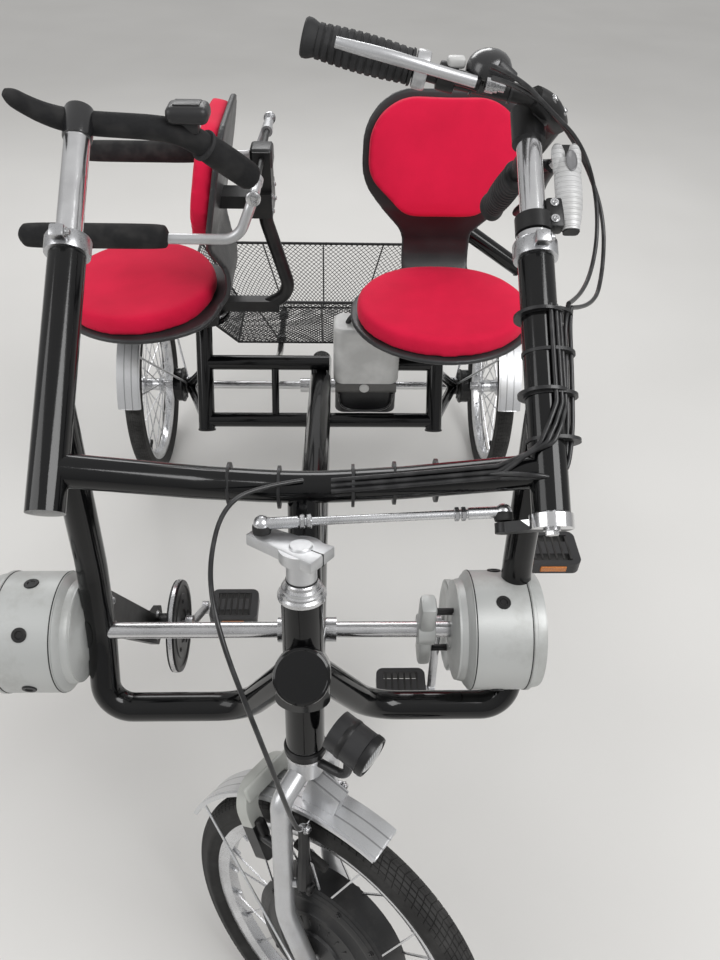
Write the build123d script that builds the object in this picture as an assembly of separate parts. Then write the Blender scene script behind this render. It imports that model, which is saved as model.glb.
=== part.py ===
from build123d import *
import os
from math import cos, radians, sin, tan

os.makedirs("parts", exist_ok=True)

# Electric side-by-side tandem tricycle. Millimetres, +Z up. While the pieces are drawn, the rear
# axle is at Y = 0, the front of the vehicle is towards -Y and the ground is at Z = 0.
# The driver sits on the +X side and the passenger on the -X side.

# Layout
RIDER_X = 282
TRACK_HALF = 475
WHEEL_R = 252
WHEELBASE = 1415
HEAD_ANGLE = 73.5
RAKE = 40
TURN_DIP = 6.3
STEER_REST = 55
CLEAR = 0.4

# Wheels
TYRE_SECTION_R = 23.5
RIM_WIDTH = 27
RIM_DEPTH = 14
SPOKE_D = 2.4
SPOKE_COUNT = 28
REAR_HUB_LENGTH = 62
REAR_HUB_FLANGE_R = 26
MOTOR_R = 118
MOTOR_WIDTH = 74
MOTOR_SPOKE_COUNT = 24
BRAKE_DRUM_R = 46
BRAKE_DRUM_WIDTH = 24
AXLE_R = 11

# Frame tubes
MAIN_TUBE_R = 26
HEAD_TUBE_R = 25
HEAD_TUBE_BOTTOM = 596
HEAD_TUBE_TOP = 812
MAIN_TUBE_FRONT_Z = 706
MAIN_TUBE_SLOPE = 15.6
MAIN_TUBE_REAR_Y = -62
CROSSBAR_R = 20
POST_R = 22
POST_ANGLE = 35
POST_BOTTOM_Y = -1170
POST_BOTTOM_Z = 909
POST_LENGTH = 330
RISER_R = 15.9
RISER_TOP = 512
BORE_R = RISER_R + CLEAR
LOOP_R = 20
LOOP_BEND_R = 70
SHAFT_R = 11
SHAFT_Y = -1140
SHAFT_Z = 653

# Rear frame
SEAT_TUBE_R = 20
SEAT_TUBE_X = 284
SEAT_TUBE_FOOT_Y = -278
SEAT_TUBE_FOOT_Z = 312
SEAT_TUBE_TOP_Y = -116
SEAT_TUBE_TOP_Z = 580
DRIVER_SWIVEL = (274, -135)
PASSENGER_SWIVEL = (-270, -180)
REAR_BAR_R = 18
UPPER_BAR_Z = 455
LOWER_BAR_Z = 334
STAY_R = 13

# Pedal drive
CRANK_Y = -940
CRANK_Z = 395
CRANK_LENGTH = 165
CRANK_X_IN = 60
CRANK_THICK = 12
SHELL_R = 22
SPINDLE_R = 9.6
PEDAL_WIDTH = 94
PEDAL_LENGTH = 76
PEDAL_THICK = 22
PEDAL_OFFSET = 58
GUARD_R = 81
DRUM_R = 81
DRUM_WIDTH = 97
DRUM_RING = 14
DRUM_INNER_X = 201

# Seats
PAN_HALF_WIDTH = 204
PAN_FRONT = 320
PAN_REAR = 75
PAN_BOTTOM_Z = 624
SHELL_THICK = 12
PAD_THICK = 40
BACK_WIDTH = 362
BACK_BOTTOM_Z = 778
BACK_HEIGHT = 270
NECK_HALF = 80
BACK_BOTTOM_Y = 40
BACK_LEAN = 11
BACK_PAD_THICK = 34
SEAT_TURN = -90
ARM_X = 222
ARM_Z = 872
ARM_TUBE_R = 10
ARM_PIVOT_Y = 158
ARM_PIVOT_Z = 952

# Carrying
BASKET_TOP_Z = 517
BASKET_FLOOR_Z = 330
BASKET_WALL = 3
BOX_X = 32
BOX_WIDTH = 160
BOX_DEPTH = 92
BOX_TOP_Z = 572
BOX_SPLIT_Z = 424
BOX_FRONT_Y = -236
FENDER_R = 272
FENDER_WIDTH = 56
FENDER_THICK = 2.4

NODES = {}


def put(name, shape, *carriers):
    """Store a piece, cut back to the faces of the pieces that carry it."""
    for carrier in carriers:
        shape = shape - NODES[carrier]
    NODES[name] = shape
    return shape


def rod(start, end, radius):
    """A round bar between two points."""
    start = Vector(start)
    run = Vector(end) - start
    return Plane(origin=start, z_dir=run.normalized()) * Cylinder(
        radius, run.length, align=(Align.CENTER, Align.CENTER, Align.MIN))


def bent_tube(points, bends, radius):
    """A round bar that follows straight runs joined by tangent arcs."""
    path = FilletPolyline(*points, radius=bends)
    return sweep(Plane(origin=path @ 0, z_dir=path % 0) * Circle(radius), path=path)


def disc(x_low, x_high, radius, y, z):
    """A round disc or drum with its axis along X."""
    return rod((x_low, y, z), (x_high, y, z), radius)


def block(low, high):
    """A box between two corners."""
    size = [b - a for a, b in zip(low, high)]
    middle = [(a + b) / 2 for a, b in zip(low, high)]
    return Location(middle) * Box(*size)


def mirrored(shape):
    """The same piece on the other side of the vehicle."""
    return mirror(shape, about=Plane.YZ)


def turned_point(point, origin, direction, angle):
    """A point turned about an axis through an origin."""
    return (point - origin).rotate(Axis((0, 0, 0), tuple(direction)), angle) + origin


def ring_profile(points):
    """A closed outline in the XY plane, X radial and Y along the axle."""
    return make_face(Polyline(*points, close=True))


def wheel_turned(profile):
    """Turn a wheel profile about the X axis."""
    solid = revolve(profile, axis=Axis.Y)
    return solid.rotate(Axis.Z, -90)


# Steering axis, from the front axle, the rake and the head angle
HEAD_DIR = Vector(0, cos(radians(HEAD_ANGLE)), sin(radians(HEAD_ANGLE)))
HEAD_BACK = Vector(0, sin(radians(HEAD_ANGLE)), -cos(radians(HEAD_ANGLE)))
FRONT_HUB = Vector(0, -WHEELBASE, WHEEL_R + TURN_DIP)
HEAD_FOOT = FRONT_HUB + HEAD_BACK * RAKE


def head_point(z):
    """The point of the steering axis at a height."""
    return HEAD_FOOT + HEAD_DIR * ((z - HEAD_FOOT.Z) / HEAD_DIR.Z)


def steered(shape):
    """Turn a piece of the front fork to its parked steering angle."""
    return shape.rotate(Axis(tuple(HEAD_FOOT), tuple(HEAD_DIR)), STEER_REST)


# Handlebar posts
POST_DIR = Vector(0, cos(radians(POST_ANGLE)), sin(radians(POST_ANGLE)))
POST_DOWN = Vector(0, sin(radians(POST_ANGLE)), -cos(radians(POST_ANGLE)))


def post_point(side, along):
    """The point of a handlebar post's axis, measured up from its lower end."""
    foot = Vector(side * RIDER_X, POST_BOTTOM_Y, POST_BOTTOM_Z)
    return foot + POST_DIR * along


def handlebar_turned(shape):
    """Turn a piece of the driver's handlebar to its parked steering angle."""
    return shape.rotate(Axis(tuple(post_point(1, 0)), tuple(POST_DIR)), STEER_REST)


def main_tube_z(y):
    """The height of the main tube's axis."""
    front = head_point(MAIN_TUBE_FRONT_Z)
    return MAIN_TUBE_FRONT_Z - (y - front.Y) * tan(radians(MAIN_TUBE_SLOPE))


# Main frame: bored head tube, sloping main tube, and the short column under the crossbar
CROSSBAR_Y = -1085
CROSSBAR_Z = 868
CAP_R = 33
CAP_LENGTH = 38
STEERER_R = 13
head_low = head_point(HEAD_TUBE_BOTTOM)
head_high = head_point(HEAD_TUBE_TOP)
head_mid = head_point(MAIN_TUBE_FRONT_Z)
head_solid = rod(head_low, head_high, HEAD_TUBE_R)
main_rear = Vector(0, MAIN_TUBE_REAR_Y, main_tube_z(MAIN_TUBE_REAR_Y))
bar_dip = Vector(0, CROSSBAR_Y, CROSSBAR_Z)
column_foot = Vector(0, head_mid.Y + 62, main_tube_z(head_mid.Y + 62))
main_frame = head_solid + rod(head_mid, head_mid + Vector(0, -CAP_LENGTH, 0), CAP_R)
main_frame += rod(head_mid, main_rear, MAIN_TUBE_R)
main_frame += rod(column_foot, bar_dip, CROSSBAR_R + 1)
main_frame -= rod(head_low - HEAD_DIR * 2, head_high + HEAD_DIR * 2, STEERER_R + CLEAR)

# Crossbar: two long arcs that dip to the column between the handlebar posts
CROSSBAR_ALONG = 50
SHOULDER_X = 120
bar_shoulder = Vector(SHOULDER_X, CROSSBAR_Y - 14, CROSSBAR_Z + 22)
crossbar = bent_tube(
    [post_point(-1, CROSSBAR_ALONG), Vector(-bar_shoulder.X, bar_shoulder.Y, bar_shoulder.Z), bar_dip,
     bar_shoulder, post_point(1, CROSSBAR_ALONG)],
    [190, 240, 190], CROSSBAR_R)
for side in (-1, 1):
    crossbar -= rod(post_point(side, 0), post_point(side, POST_LENGTH), POST_R)
put("crossbar", crossbar)
put("main_frame", main_frame, "crossbar")

# Each side of the frame: a handlebar post, and a loop tube round the footwell to the head tube
LOOP_ALONG = 134
LOOP_CORNER_Y = -1192
LOOP_CORNER_Z = 545
LOOP_INNER_X = 88
POST_FLOOR = 12
POST_COLLAR = 14
loop_points = [
    post_point(1, LOOP_ALONG),
    Vector(RIDER_X, -1104, 745),
    Vector(RIDER_X, -1140, 640),
    Vector(RIDER_X, LOOP_CORNER_Y, LOOP_CORNER_Z),
    Vector(LOOP_INNER_X, LOOP_CORNER_Y, LOOP_CORNER_Z),
    head_point(MAIN_TUBE_FRONT_Z + 12),
]
loop = bent_tube(loop_points, [200, 200, 38, LOOP_BEND_R], LOOP_R)
side_frame = rod(post_point(1, 0), post_point(1, POST_LENGTH), POST_R) + loop
side_frame += rod(post_point(1, POST_LENGTH - POST_COLLAR), post_point(1, POST_LENGTH), POST_R + 4)
side_frame -= rod(post_point(1, POST_FLOOR), post_point(1, POST_LENGTH + 2), BORE_R)
put("side_frame_left", mirrored(side_frame) - head_solid, "crossbar", "main_frame")
PIN_R = 9
side_frame -= rod(post_point(1, -2), post_point(1, POST_FLOOR + 2), PIN_R + CLEAR)
put("side_frame_right", side_frame - head_solid, "crossbar", "main_frame")

# Rear frame: seat tubes, two crossbars, struts, axle stays, bearing blocks and brake drums
PLATFORM_R = 58
PLATFORM_THICK = 8
PLATFORM_HALF = 34
BEARING_X = 372
BEARING_R = 24
BEARING_WIDTH = 34
STRUTS_X = (-112, -14)
seat_top = Vector(SEAT_TUBE_X, SEAT_TUBE_TOP_Y, SEAT_TUBE_TOP_Z)
seat_foot = Vector(SEAT_TUBE_X, SEAT_TUBE_FOOT_Y, SEAT_TUBE_FOOT_Z)


def seat_tube_point(z):
    """The point of the seat tube's axis at a height, on the driver's side."""
    share = (z - SEAT_TUBE_FOOT_Z) / (SEAT_TUBE_TOP_Z - SEAT_TUBE_FOOT_Z)
    return seat_foot + (seat_top - seat_foot) * share


lower_y = seat_tube_point(LOWER_BAR_Z).Y
upper_y = seat_tube_point(UPPER_BAR_Z).Y
bearing_point = Vector(BEARING_X, 0, WHEEL_R)
rear_side = rod(seat_foot, seat_tube_point(SEAT_TUBE_TOP_Z - 8), SEAT_TUBE_R)
rear_side += disc(BEARING_X - BEARING_WIDTH / 2, BEARING_X + BEARING_WIDTH / 2, BEARING_R, 0, WHEEL_R)
for stay_z in (330, 440):
    rear_side += rod(seat_tube_point(stay_z), bearing_point, STAY_R)
drum_low = BEARING_X + BEARING_WIDTH / 2
rear_side += disc(drum_low, drum_low + BRAKE_DRUM_WIDTH, BRAKE_DRUM_R, 0, WHEEL_R)
rear_frame = rear_side + mirrored(rear_side)
platform_top = SEAT_TUBE_TOP_Z + PLATFORM_THICK
for swivel_x, swivel_y in (DRIVER_SWIVEL, PASSENGER_SWIVEL):
    rear_frame += rod((swivel_x, swivel_y, SEAT_TUBE_TOP_Z), (swivel_x, swivel_y, platform_top), PLATFORM_R)
    rear_frame += block((swivel_x - PLATFORM_HALF, swivel_y, SEAT_TUBE_TOP_Z),
                        (swivel_x + PLATFORM_HALF, SEAT_TUBE_TOP_Y + SEAT_TUBE_R, platform_top))
rear_frame += rod((-SEAT_TUBE_X, lower_y, LOWER_BAR_Z), (SEAT_TUBE_X, lower_y, LOWER_BAR_Z), REAR_BAR_R)
rear_frame += rod((-SEAT_TUBE_X, upper_y, UPPER_BAR_Z), (BOX_X - 10, upper_y, UPPER_BAR_Z), REAR_BAR_R)
stub_x = BOX_X + BOX_WIDTH
rear_frame += rod((stub_x, upper_y, UPPER_BAR_Z), (SEAT_TUBE_X, upper_y, UPPER_BAR_Z), REAR_BAR_R)
for strut_x in STRUTS_X:
    rear_frame += rod((strut_x, lower_y, LOWER_BAR_Z), (strut_x, upper_y, UPPER_BAR_Z), 9)

# Rear axle, one silver shaft through both bearing blocks with a black coupling at its middle
AXLE_OVER = 14
axle_end = TRACK_HALF + REAR_HUB_LENGTH / 2 + AXLE_OVER
rear_axle = disc(-axle_end, axle_end, AXLE_R, 0, WHEEL_R)
for x_low, x_high, radius in ((-62, -24, 20), (-24, 24, 15), (24, 62, 20)):
    rear_axle += disc(x_low, x_high, radius, 0, WHEEL_R)
for side in (-1, 1):
    nut = side * (TRACK_HALF + REAR_HUB_LENGTH / 2 + 2)
    rear_axle += disc(min(nut, nut + side * 10), max(nut, nut + side * 10), 16, 0, WHEEL_R)
put("rear_axle", rear_axle)
put("rear_frame", rear_frame, "main_frame", "rear_axle")


def wheel_pieces(hub_r, hub_half, spoke_count, axle_place):
    """Tyre, and rim with spokes, turned about an axle along X."""
    seat_r = WHEEL_R - 2 * TYRE_SECTION_R + 2
    tyre_ring = Torus(WHEEL_R - TYRE_SECTION_R, TYRE_SECTION_R).rotate(Axis.Y, 90)
    rim_half = RIM_WIDTH / 2
    rim = wheel_turned(ring_profile([
        (seat_r - RIM_DEPTH, -rim_half + 5),
        (seat_r - 3, -rim_half),
        (seat_r + 6, -rim_half),
        (seat_r + 6, rim_half),
        (seat_r - 3, rim_half),
        (seat_r - RIM_DEPTH, rim_half - 5),
    ]))
    spokes = []
    for index in range(spoke_count):
        side = 1 if index % 2 else -1
        lean = 12 if (index // 2) % 2 else -12
        angle = 360 * index / spoke_count
        foot = Vector(side * hub_half, 0, hub_r - 3).rotate(Axis.X, angle + lean)
        tip = Vector(side * 3, 0, seat_r - RIM_DEPTH + 3).rotate(Axis.X, angle)
        run = tip - foot
        bar = Plane(origin=foot, z_dir=run.normalized()) * Box(
            SPOKE_D, SPOKE_D, run.length, align=(Align.CENTER, Align.CENTER, Align.MIN))
        spokes.append(bar)
    move = Location(tuple(axle_place))
    return move * (tyre_ring - rim), move * rim.fuse(*spokes)


# Rear wheels, each a tyre and a spoked rim on a spool hub that runs on the axle
hub_half = REAR_HUB_LENGTH / 2
bore_r = AXLE_R + CLEAR
hub = wheel_turned(ring_profile([
    (bore_r, -hub_half), (19, -hub_half), (19, -hub_half + 5),
    (REAR_HUB_FLANGE_R, -hub_half + 6), (REAR_HUB_FLANGE_R, -hub_half + 10),
    (18, -hub_half + 14), (16, 0), (18, hub_half - 14),
    (REAR_HUB_FLANGE_R, hub_half - 10), (REAR_HUB_FLANGE_R, hub_half - 6),
    (19, hub_half - 5), (19, hub_half), (bore_r, hub_half),
]))
for side, name in ((-1, "left"), (1, "right")):
    wheel_place = Vector(side * TRACK_HALF, 0, WHEEL_R)
    tyre, rim = wheel_pieces(REAR_HUB_FLANGE_R, hub_half - 8, SPOKE_COUNT, wheel_place)
    put("rear_tyre_" + name, tyre)
    put("rear_wheel_" + name, rim + Location((side * TRACK_HALF, 0, WHEEL_R)) * hub)


def arc_band(first, last, width, radius_in, radius_out, hub_place):
    """A curved band about an axle, between two angles from straight back over the top."""
    band = Cylinder(radius_out, width).rotate(Axis.Y, 90) - Cylinder(radius_in, width + 2).rotate(Axis.Y, 90)
    reach = radius_out * 3
    corners = [(0, 0)]
    for step in range(5):
        angle = radians(first + (last - first) * step / 4)
        corners.append((reach * cos(angle), reach * sin(angle)))
    wedge = extrude(Plane.YZ * make_face(Polyline(*corners, close=True)), amount=width, both=True)
    return Location(tuple(hub_place)) * (band & wedge)


def fender(first, last, hub_place):
    """A mudguard with turned-down edges."""
    skin = arc_band(first, last, FENDER_WIDTH - 8, FENDER_R - FENDER_THICK, FENDER_R, hub_place)
    for side in (-1, 1):
        edge_place = hub_place + Vector(side * (FENDER_WIDTH / 2 - 3), 0, 0)
        skin += arc_band(first, last, 6, FENDER_R - FENDER_THICK - 5, FENDER_R - 1.5, edge_place)
    return skin


# Rear mudguards, each held by two wire stays from its axle's bearing block
STAY_WIRE_R = 3
REAR_FENDER_FROM = 14
REAR_FENDER_TO = 158
for side, name in ((-1, "left"), (1, "right")):
    hub_place = Vector(side * TRACK_HALF, 0, WHEEL_R)
    guard = fender(REAR_FENDER_FROM, REAR_FENDER_TO, hub_place)
    for angle in (40, 130):
        way = Vector(0, cos(radians(angle)), sin(radians(angle)))
        tip = hub_place + way * (FENDER_R - 4) - Vector(side * (FENDER_WIDTH / 2 - 3), 0, 0)
        foot = Vector(side * (BEARING_X + 8), 0, WHEEL_R) + way * 18
        guard += rod(foot, tip, STAY_WIRE_R)
    put("rear_fender_" + name, guard, "rear_frame")

# Pedal units: a flat arm and bottom bracket behind each loop tube, with a disc guard or a cover
ARM_HALF = 7
SHELL_HALF = 36
GUARD_THICK = 9
for side, name in ((-1, "left"), (1, "right")):
    centre = side * RIDER_X
    outline = Polyline(
        (-1146, 672), (-1118, 612), (CRANK_Y - 26, CRANK_Z - 20), (CRANK_Y + 20, CRANK_Z - 26),
        (CRANK_Y + 30, CRANK_Z + 20), (CRANK_Y - 8, CRANK_Z + 44), (-1096, 690), close=True)
    plate = extrude(Plane.YZ * make_face(outline), amount=ARM_HALF, both=True)
    bracket = Location((centre, 0, 0)) * plate
    bracket += disc(centre - SHELL_HALF, centre + SHELL_HALF, SHELL_R, CRANK_Y, CRANK_Z)
    if side < 0:
        face_x = centre + SHELL_HALF
        bracket += disc(face_x - 1, face_x + GUARD_THICK, GUARD_R, CRANK_Y, CRANK_Z)
    bracket -= disc(centre - 60, centre + 60, SPINDLE_R + CLEAR, CRANK_Y, CRANK_Z)
    put("bracket_" + name, bracket, "side_frame_" + name)
cover_x = RIDER_X - SHELL_HALF
cover = disc(cover_x - GUARD_THICK, cover_x, GUARD_R, CRANK_Y, CRANK_Z)
cover += block((cover_x - GUARD_THICK, CRANK_Y - GUARD_R, CRANK_Z),
               (cover_x, CRANK_Y - 20, CRANK_Z + GUARD_R))
cover -= disc(cover_x - GUARD_THICK - 1, cover_x + 1, SPINDLE_R + 3, CRANK_Y, CRANK_Z)
put("chain_cover", cover)


def drum(inner_x, way):
    """A transmission drum: a stepped face towards the middle, a housing and an outer ring."""
    pieces = None
    for start, length, radius in (
            (0, 18, DRUM_R - 13), (18, DRUM_WIDTH - 18, DRUM_R), (DRUM_WIDTH, DRUM_RING, DRUM_R - 4)):
        ends = sorted((inner_x + way * start, inner_x + way * (start + length)))
        piece = disc(ends[0], ends[1], radius, SHAFT_Y, SHAFT_Z)
        pieces = piece if pieces is None else pieces + piece
    return pieces


# Transmission drums on the loop tubes, joined to the main tube by a silver cross shaft each
DRUM_LEFT_X = -(RIDER_X + LOOP_R)
COLLAR_X = MAIN_TUBE_R + 6
put("drum_right", drum(DRUM_INNER_X, 1), "side_frame_right", "bracket_right")
put("drum_left", drum(DRUM_LEFT_X, -1), "side_frame_left", "bracket_left")
shafts = disc(14, DRUM_INNER_X, SHAFT_R, SHAFT_Y, SHAFT_Z)
shafts += disc(-RIDER_X, -14, SHAFT_R, SHAFT_Y, SHAFT_Z)
collar = disc(14, COLLAR_X + 8, SHAFT_R + 6, SHAFT_Y, SHAFT_Z)
shafts += collar + mirrored(collar)
put("cross_shafts", shafts, "main_frame", "side_frame_left", "bracket_left")

# Battery in its dock between the rear bars, on the driver's side of the main tube
battery = block((BOX_X, BOX_FRONT_Y, BOX_SPLIT_Z), (BOX_X + BOX_WIDTH, BOX_FRONT_Y + BOX_DEPTH, BOX_TOP_Z))
battery = fillet(battery.edges().filter_by(Axis.Z), 26)
battery = fillet(battery.edges().group_by(Axis.Z)[-1], 10)
dock = block((BOX_X + 4, BOX_FRONT_Y + 4, LOWER_BAR_Z),
             (BOX_X + BOX_WIDTH - 4, BOX_FRONT_Y + BOX_DEPTH - 4, BOX_SPLIT_Z))
dock = fillet(dock.edges().filter_by(Axis.Z), 24)
put("battery_dock", dock, "rear_frame", "main_frame")
put("battery", battery, "rear_frame", "main_frame")

# Basket, wider at its rim than at its floor, on two bent rack tubes
BASKET_RIM = ((-355, -6), (355, 338))
BASKET_FLOOR = ((-240, 100), (240, 296))
RACK_X = 120
RACK_R = 9


def basket_body(inset, raise_top):
    """The tapered block of the basket's outside, or of its inside with an inset."""
    faces = []
    for corners, z in ((BASKET_FLOOR, BASKET_FLOOR_Z + inset), (BASKET_RIM, BASKET_TOP_Z + raise_top)):
        (x_low, y_low), (x_high, y_high) = corners
        sheet = Rectangle(x_high - x_low - 2 * inset, y_high - y_low - 2 * inset)
        faces.append(Plane.XY.offset(z) * Pos((x_low + x_high) / 2, (y_low + y_high) / 2) * sheet)
    return loft(faces)


basket = basket_body(0, 0)
for side in (-1, 1):
    basket += bent_tube([
        Vector(side * RACK_X, upper_y, UPPER_BAR_Z),
        Vector(side * RACK_X, upper_y + 66, UPPER_BAR_Z - 44),
        Vector(side * RACK_X, 66, BASKET_FLOOR_Z - RACK_R + 1),
        Vector(side * RACK_X, 300, BASKET_FLOOR_Z - RACK_R + 1)],
        [60, 90], RACK_R)
basket -= basket_body(BASKET_WALL, 1)
put("basket", basket, "rear_frame", "battery", "battery_dock", "main_frame")

# Seats, drawn about the swivel axis facing -Y, then turned and set in place
SEAT_BASE_Z = SEAT_TUBE_TOP_Z + PLATFORM_THICK
RAIL_HALF = 15
SPINE_R = 15
HINGE_HALF = 150
HINGE_R = 6
back_dir = Vector(0, sin(radians(BACK_LEAN)), cos(radians(BACK_LEAN)))
back_plane = Plane(origin=(0, BACK_BOTTOM_Y, BACK_BOTTOM_Z), x_dir=(1, 0, 0),
                   z_dir=(0, -cos(radians(BACK_LEAN)), sin(radians(BACK_LEAN))))
back_top = Vector(0, BACK_BOTTOM_Y, BACK_BOTTOM_Z) + back_dir * BACK_HEIGHT


def seat_base(with_hinge):
    """The turning plate, the rail below the pan and the bent spine behind the back."""
    base = Pos(0, 0, SEAT_BASE_Z + CLEAR) * Cylinder(52, 10, align=(Align.CENTER, Align.CENTER, Align.MIN))
    base += block((-RAIL_HALF - 60, -190, SEAT_BASE_Z + 10), (RAIL_HALF + 60, 40, PAN_BOTTOM_Z))
    base += block((-RAIL_HALF, 30, SEAT_BASE_Z + 10), (RAIL_HALF, 176, PAN_BOTTOM_Z))
    spine_z = (SEAT_BASE_Z + 10 + PAN_BOTTOM_Z) / 2
    base += bent_tube([
        Vector(0, 150, spine_z), Vector(0, 205, spine_z + 30),
        Vector(0, 158, ARM_Z - 62), Vector(0, 150, ARM_Z + 26)],
        [45, 60], SPINE_R)
    base += block((-50, 128, ARM_Z - 34), (50, 176, ARM_Z + 16))
    if with_hinge:
        base += block((-34, 140, ARM_Z + 10), (34, 176, ARM_PIVOT_Z + 14))
        base += rod((-HINGE_HALF, ARM_PIVOT_Y, ARM_PIVOT_Z), (HINGE_HALF, ARM_PIVOT_Y, ARM_PIVOT_Z), HINGE_R)
    base += block((-30, back_top.Y - 30, ARM_Z - 22), (30, 140, ARM_Z + 4))
    return base


def seat_shell():
    """One moulded shell: an oval pan, a narrow neck and a broad back."""
    path = FilletPolyline(
        (0, -PAN_FRONT - 2, PAN_BOTTOM_Z + SHELL_THICK / 2), (0, 70, PAN_BOTTOM_Z + SHELL_THICK / 2),
        (0, 74, PAN_BOTTOM_Z + 96), (0, BACK_BOTTOM_Y + 8, BACK_BOTTOM_Z + 24),
        (0, back_top.Y + 7, back_top.Z - 1),
        radius=[70, 46, 60])
    start = Plane(origin=path @ 0, x_dir=(1, 0, 0), z_dir=path % 0)
    sheet = sweep(start * Rectangle(2 * PAN_HALF_WIDTH + 4, SHELL_THICK), path=path)
    oval = Pos(0, -PAN_FRONT / 2 + PAN_REAR / 2) * Ellipse(PAN_HALF_WIDTH, (PAN_FRONT + PAN_REAR) / 2)
    pan = extrude(Plane.XY.offset(PAN_BOTTOM_Z - 2) * oval, amount=SHELL_THICK + 18)
    half = BACK_WIDTH / 2
    outline = FilletPolyline(
        (-NECK_HALF, PAN_BOTTOM_Z - 4), (-NECK_HALF, BACK_BOTTOM_Z - 40), (-half, BACK_BOTTOM_Z + 84),
        (-half + 8, back_top.Z), (half - 8, back_top.Z), (half, BACK_BOTTOM_Z + 84),
        (NECK_HALF, BACK_BOTTOM_Z - 40), (NECK_HALF, PAN_BOTTOM_Z - 4),
        radius=[50, 84, 112, 112, 84, 50, 6, 6], close=True)
    front = extrude(Plane.XZ * make_face(outline), amount=-260)
    return sheet & (pan + front)


def seat_pads():
    """The oval pan pad and the rounded back pad."""
    middle_y = (-PAN_FRONT + PAN_REAR) / 2 - 14
    pad_oval = Ellipse(PAN_HALF_WIDTH - 13, (PAN_FRONT + PAN_REAR) / 2 - 24)
    pad = extrude(Plane.XY.offset(PAN_BOTTOM_Z + SHELL_THICK) * Pos(0, middle_y) * pad_oval, amount=PAD_THICK)
    pad = fillet(pad.edges().group_by(Axis.Z)[-1], 14)
    half = BACK_WIDTH / 2 - 10
    outline = FilletPolyline(
        (-82, 10), (-half, 98), (-half + 8, BACK_HEIGHT - 10), (half - 8, BACK_HEIGHT - 10),
        (half, 98), (82, 10), radius=[66, 76, 104, 104, 76, 66], close=True)
    back = extrude(back_plane * make_face(outline), amount=BACK_PAD_THICK)
    return pad, back


def seat_placed(shape, swivel, turn):
    """Set a seat piece on its swivel axis, turned about it."""
    return Location((*swivel, 0)) * shape.rotate(Axis.Z, turn)


shell = seat_shell()
pad, back_pad = seat_pads()
for swivel, turn, name in ((PASSENGER_SWIVEL, SEAT_TURN, "passenger"), (DRIVER_SWIVEL, 0, "driver")):
    base = seat_base(name == "passenger")
    put(name + "_seat_base", seat_placed(base - shell, swivel, turn))
    put(name + "_seat_shell", seat_placed(shell, swivel, turn))
    put(name + "_seat_pad", seat_placed(pad - shell, swivel, turn))
    put(name + "_back_pad", seat_placed(back_pad - shell, swivel, turn))
seat_foot_plate = block((-48, -48, SEAT_BASE_Z), (48, 48, SEAT_BASE_Z + 2))
NODES["driver_seat_base"] += seat_placed(seat_foot_plate, DRIVER_SWIVEL, 0)

# Holder tube for walking sticks, on the spine of the driver's seat
HOLDER_R = 20
holder = rod((12, 182, 745), (234, 149, 606), HOLDER_R)
put("stick_holder", seat_placed(holder, DRIVER_SWIVEL, 0), "driver_seat_base")

# Armrests of the passenger's seat: a bent tube hinged behind the back, with a long foam pad
HINGE_SLEEVE_R = 12
for side, name in ((1, "left"), (-1, "right")):
    arm = bent_tube([
        Vector(side * (HINGE_HALF + 2), ARM_PIVOT_Y, ARM_PIVOT_Z),
        Vector(side * ARM_X, ARM_PIVOT_Y, ARM_PIVOT_Z),
        Vector(side * ARM_X, ARM_PIVOT_Y - 34, ARM_Z),
        Vector(side * ARM_X, -270, ARM_Z)],
        [26, 46], ARM_TUBE_R)
    arm += rod((side * (HINGE_HALF - 14), ARM_PIVOT_Y, ARM_PIVOT_Z),
               (side * (HINGE_HALF + 6), ARM_PIVOT_Y, ARM_PIVOT_Z), HINGE_SLEEVE_R)
    arm -= rod((side * (HINGE_HALF - 16), ARM_PIVOT_Y, ARM_PIVOT_Z),
               (side * (HINGE_HALF + 1), ARM_PIVOT_Y, ARM_PIVOT_Z), HINGE_R + CLEAR)
    grip = rod((side * ARM_X, -296, ARM_Z + 4), (side * ARM_X, -28, ARM_Z + 4), 21)
    grip = fillet(grip.edges(), 12)
    put("armrest_" + name, seat_placed(arm, PASSENGER_SWIVEL, SEAT_TURN))
    put("armrest_pad_" + name, seat_placed(grip - arm, PASSENGER_SWIVEL, SEAT_TURN))

# Front fork: steerer, crown, two bent blades, the axle and the rim brake's two arms
FORK_HALF = 54
BLADE_R = 14
FORK_AXLE_R = 6
CROWN_Z = 560
LEVER_FOOT = 862
LEVER_LENGTH = 57
LEVER_THICK = 14
BRAKE_X = 42
lever_foot = head_point(LEVER_FOOT)
fork = rod(head_point(CROWN_Z), lever_foot + HEAD_DIR * (LEVER_THICK + 3), STEERER_R)
fork += rod(head_point(CROWN_Z) - HEAD_DIR * 8, head_point(HEAD_TUBE_BOTTOM) - HEAD_DIR * 1, 24)
for side in (-1, 1):
    fork += bent_tube([
        head_point(CROWN_Z),
        head_point(CROWN_Z - 22) + Vector(side * FORK_HALF, 0, 0),
        head_point(330) + Vector(side * FORK_HALF, 0, 0),
        FRONT_HUB + Vector(side * FORK_HALF, 0, 0)],
        [20, 90], BLADE_R)
    arm_low = head_point(392) - HEAD_BACK * 22 + Vector(side * BRAKE_X, 0, 0)
    arm_high = head_point(500) - HEAD_BACK * 26 + Vector(side * BRAKE_X, 0, 0)
    pad_point = head_point(430) - HEAD_BACK * 23
    fork += rod(arm_low, arm_high, 6)
    fork += rod(arm_low, head_point(392) + Vector(side * FORK_HALF, 0, 0), 6)
    fork += rod(pad_point + Vector(side * 20, 0, 0), pad_point + Vector(side * BRAKE_X, 0, 0), 6)
brake_arm = head_point(500) - HEAD_BACK * 26 + Vector(-BRAKE_X, 0, 0)
guide_out = (Vector(-BRAKE_X, 0, 0) - HEAD_BACK * 26).normalized()
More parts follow.
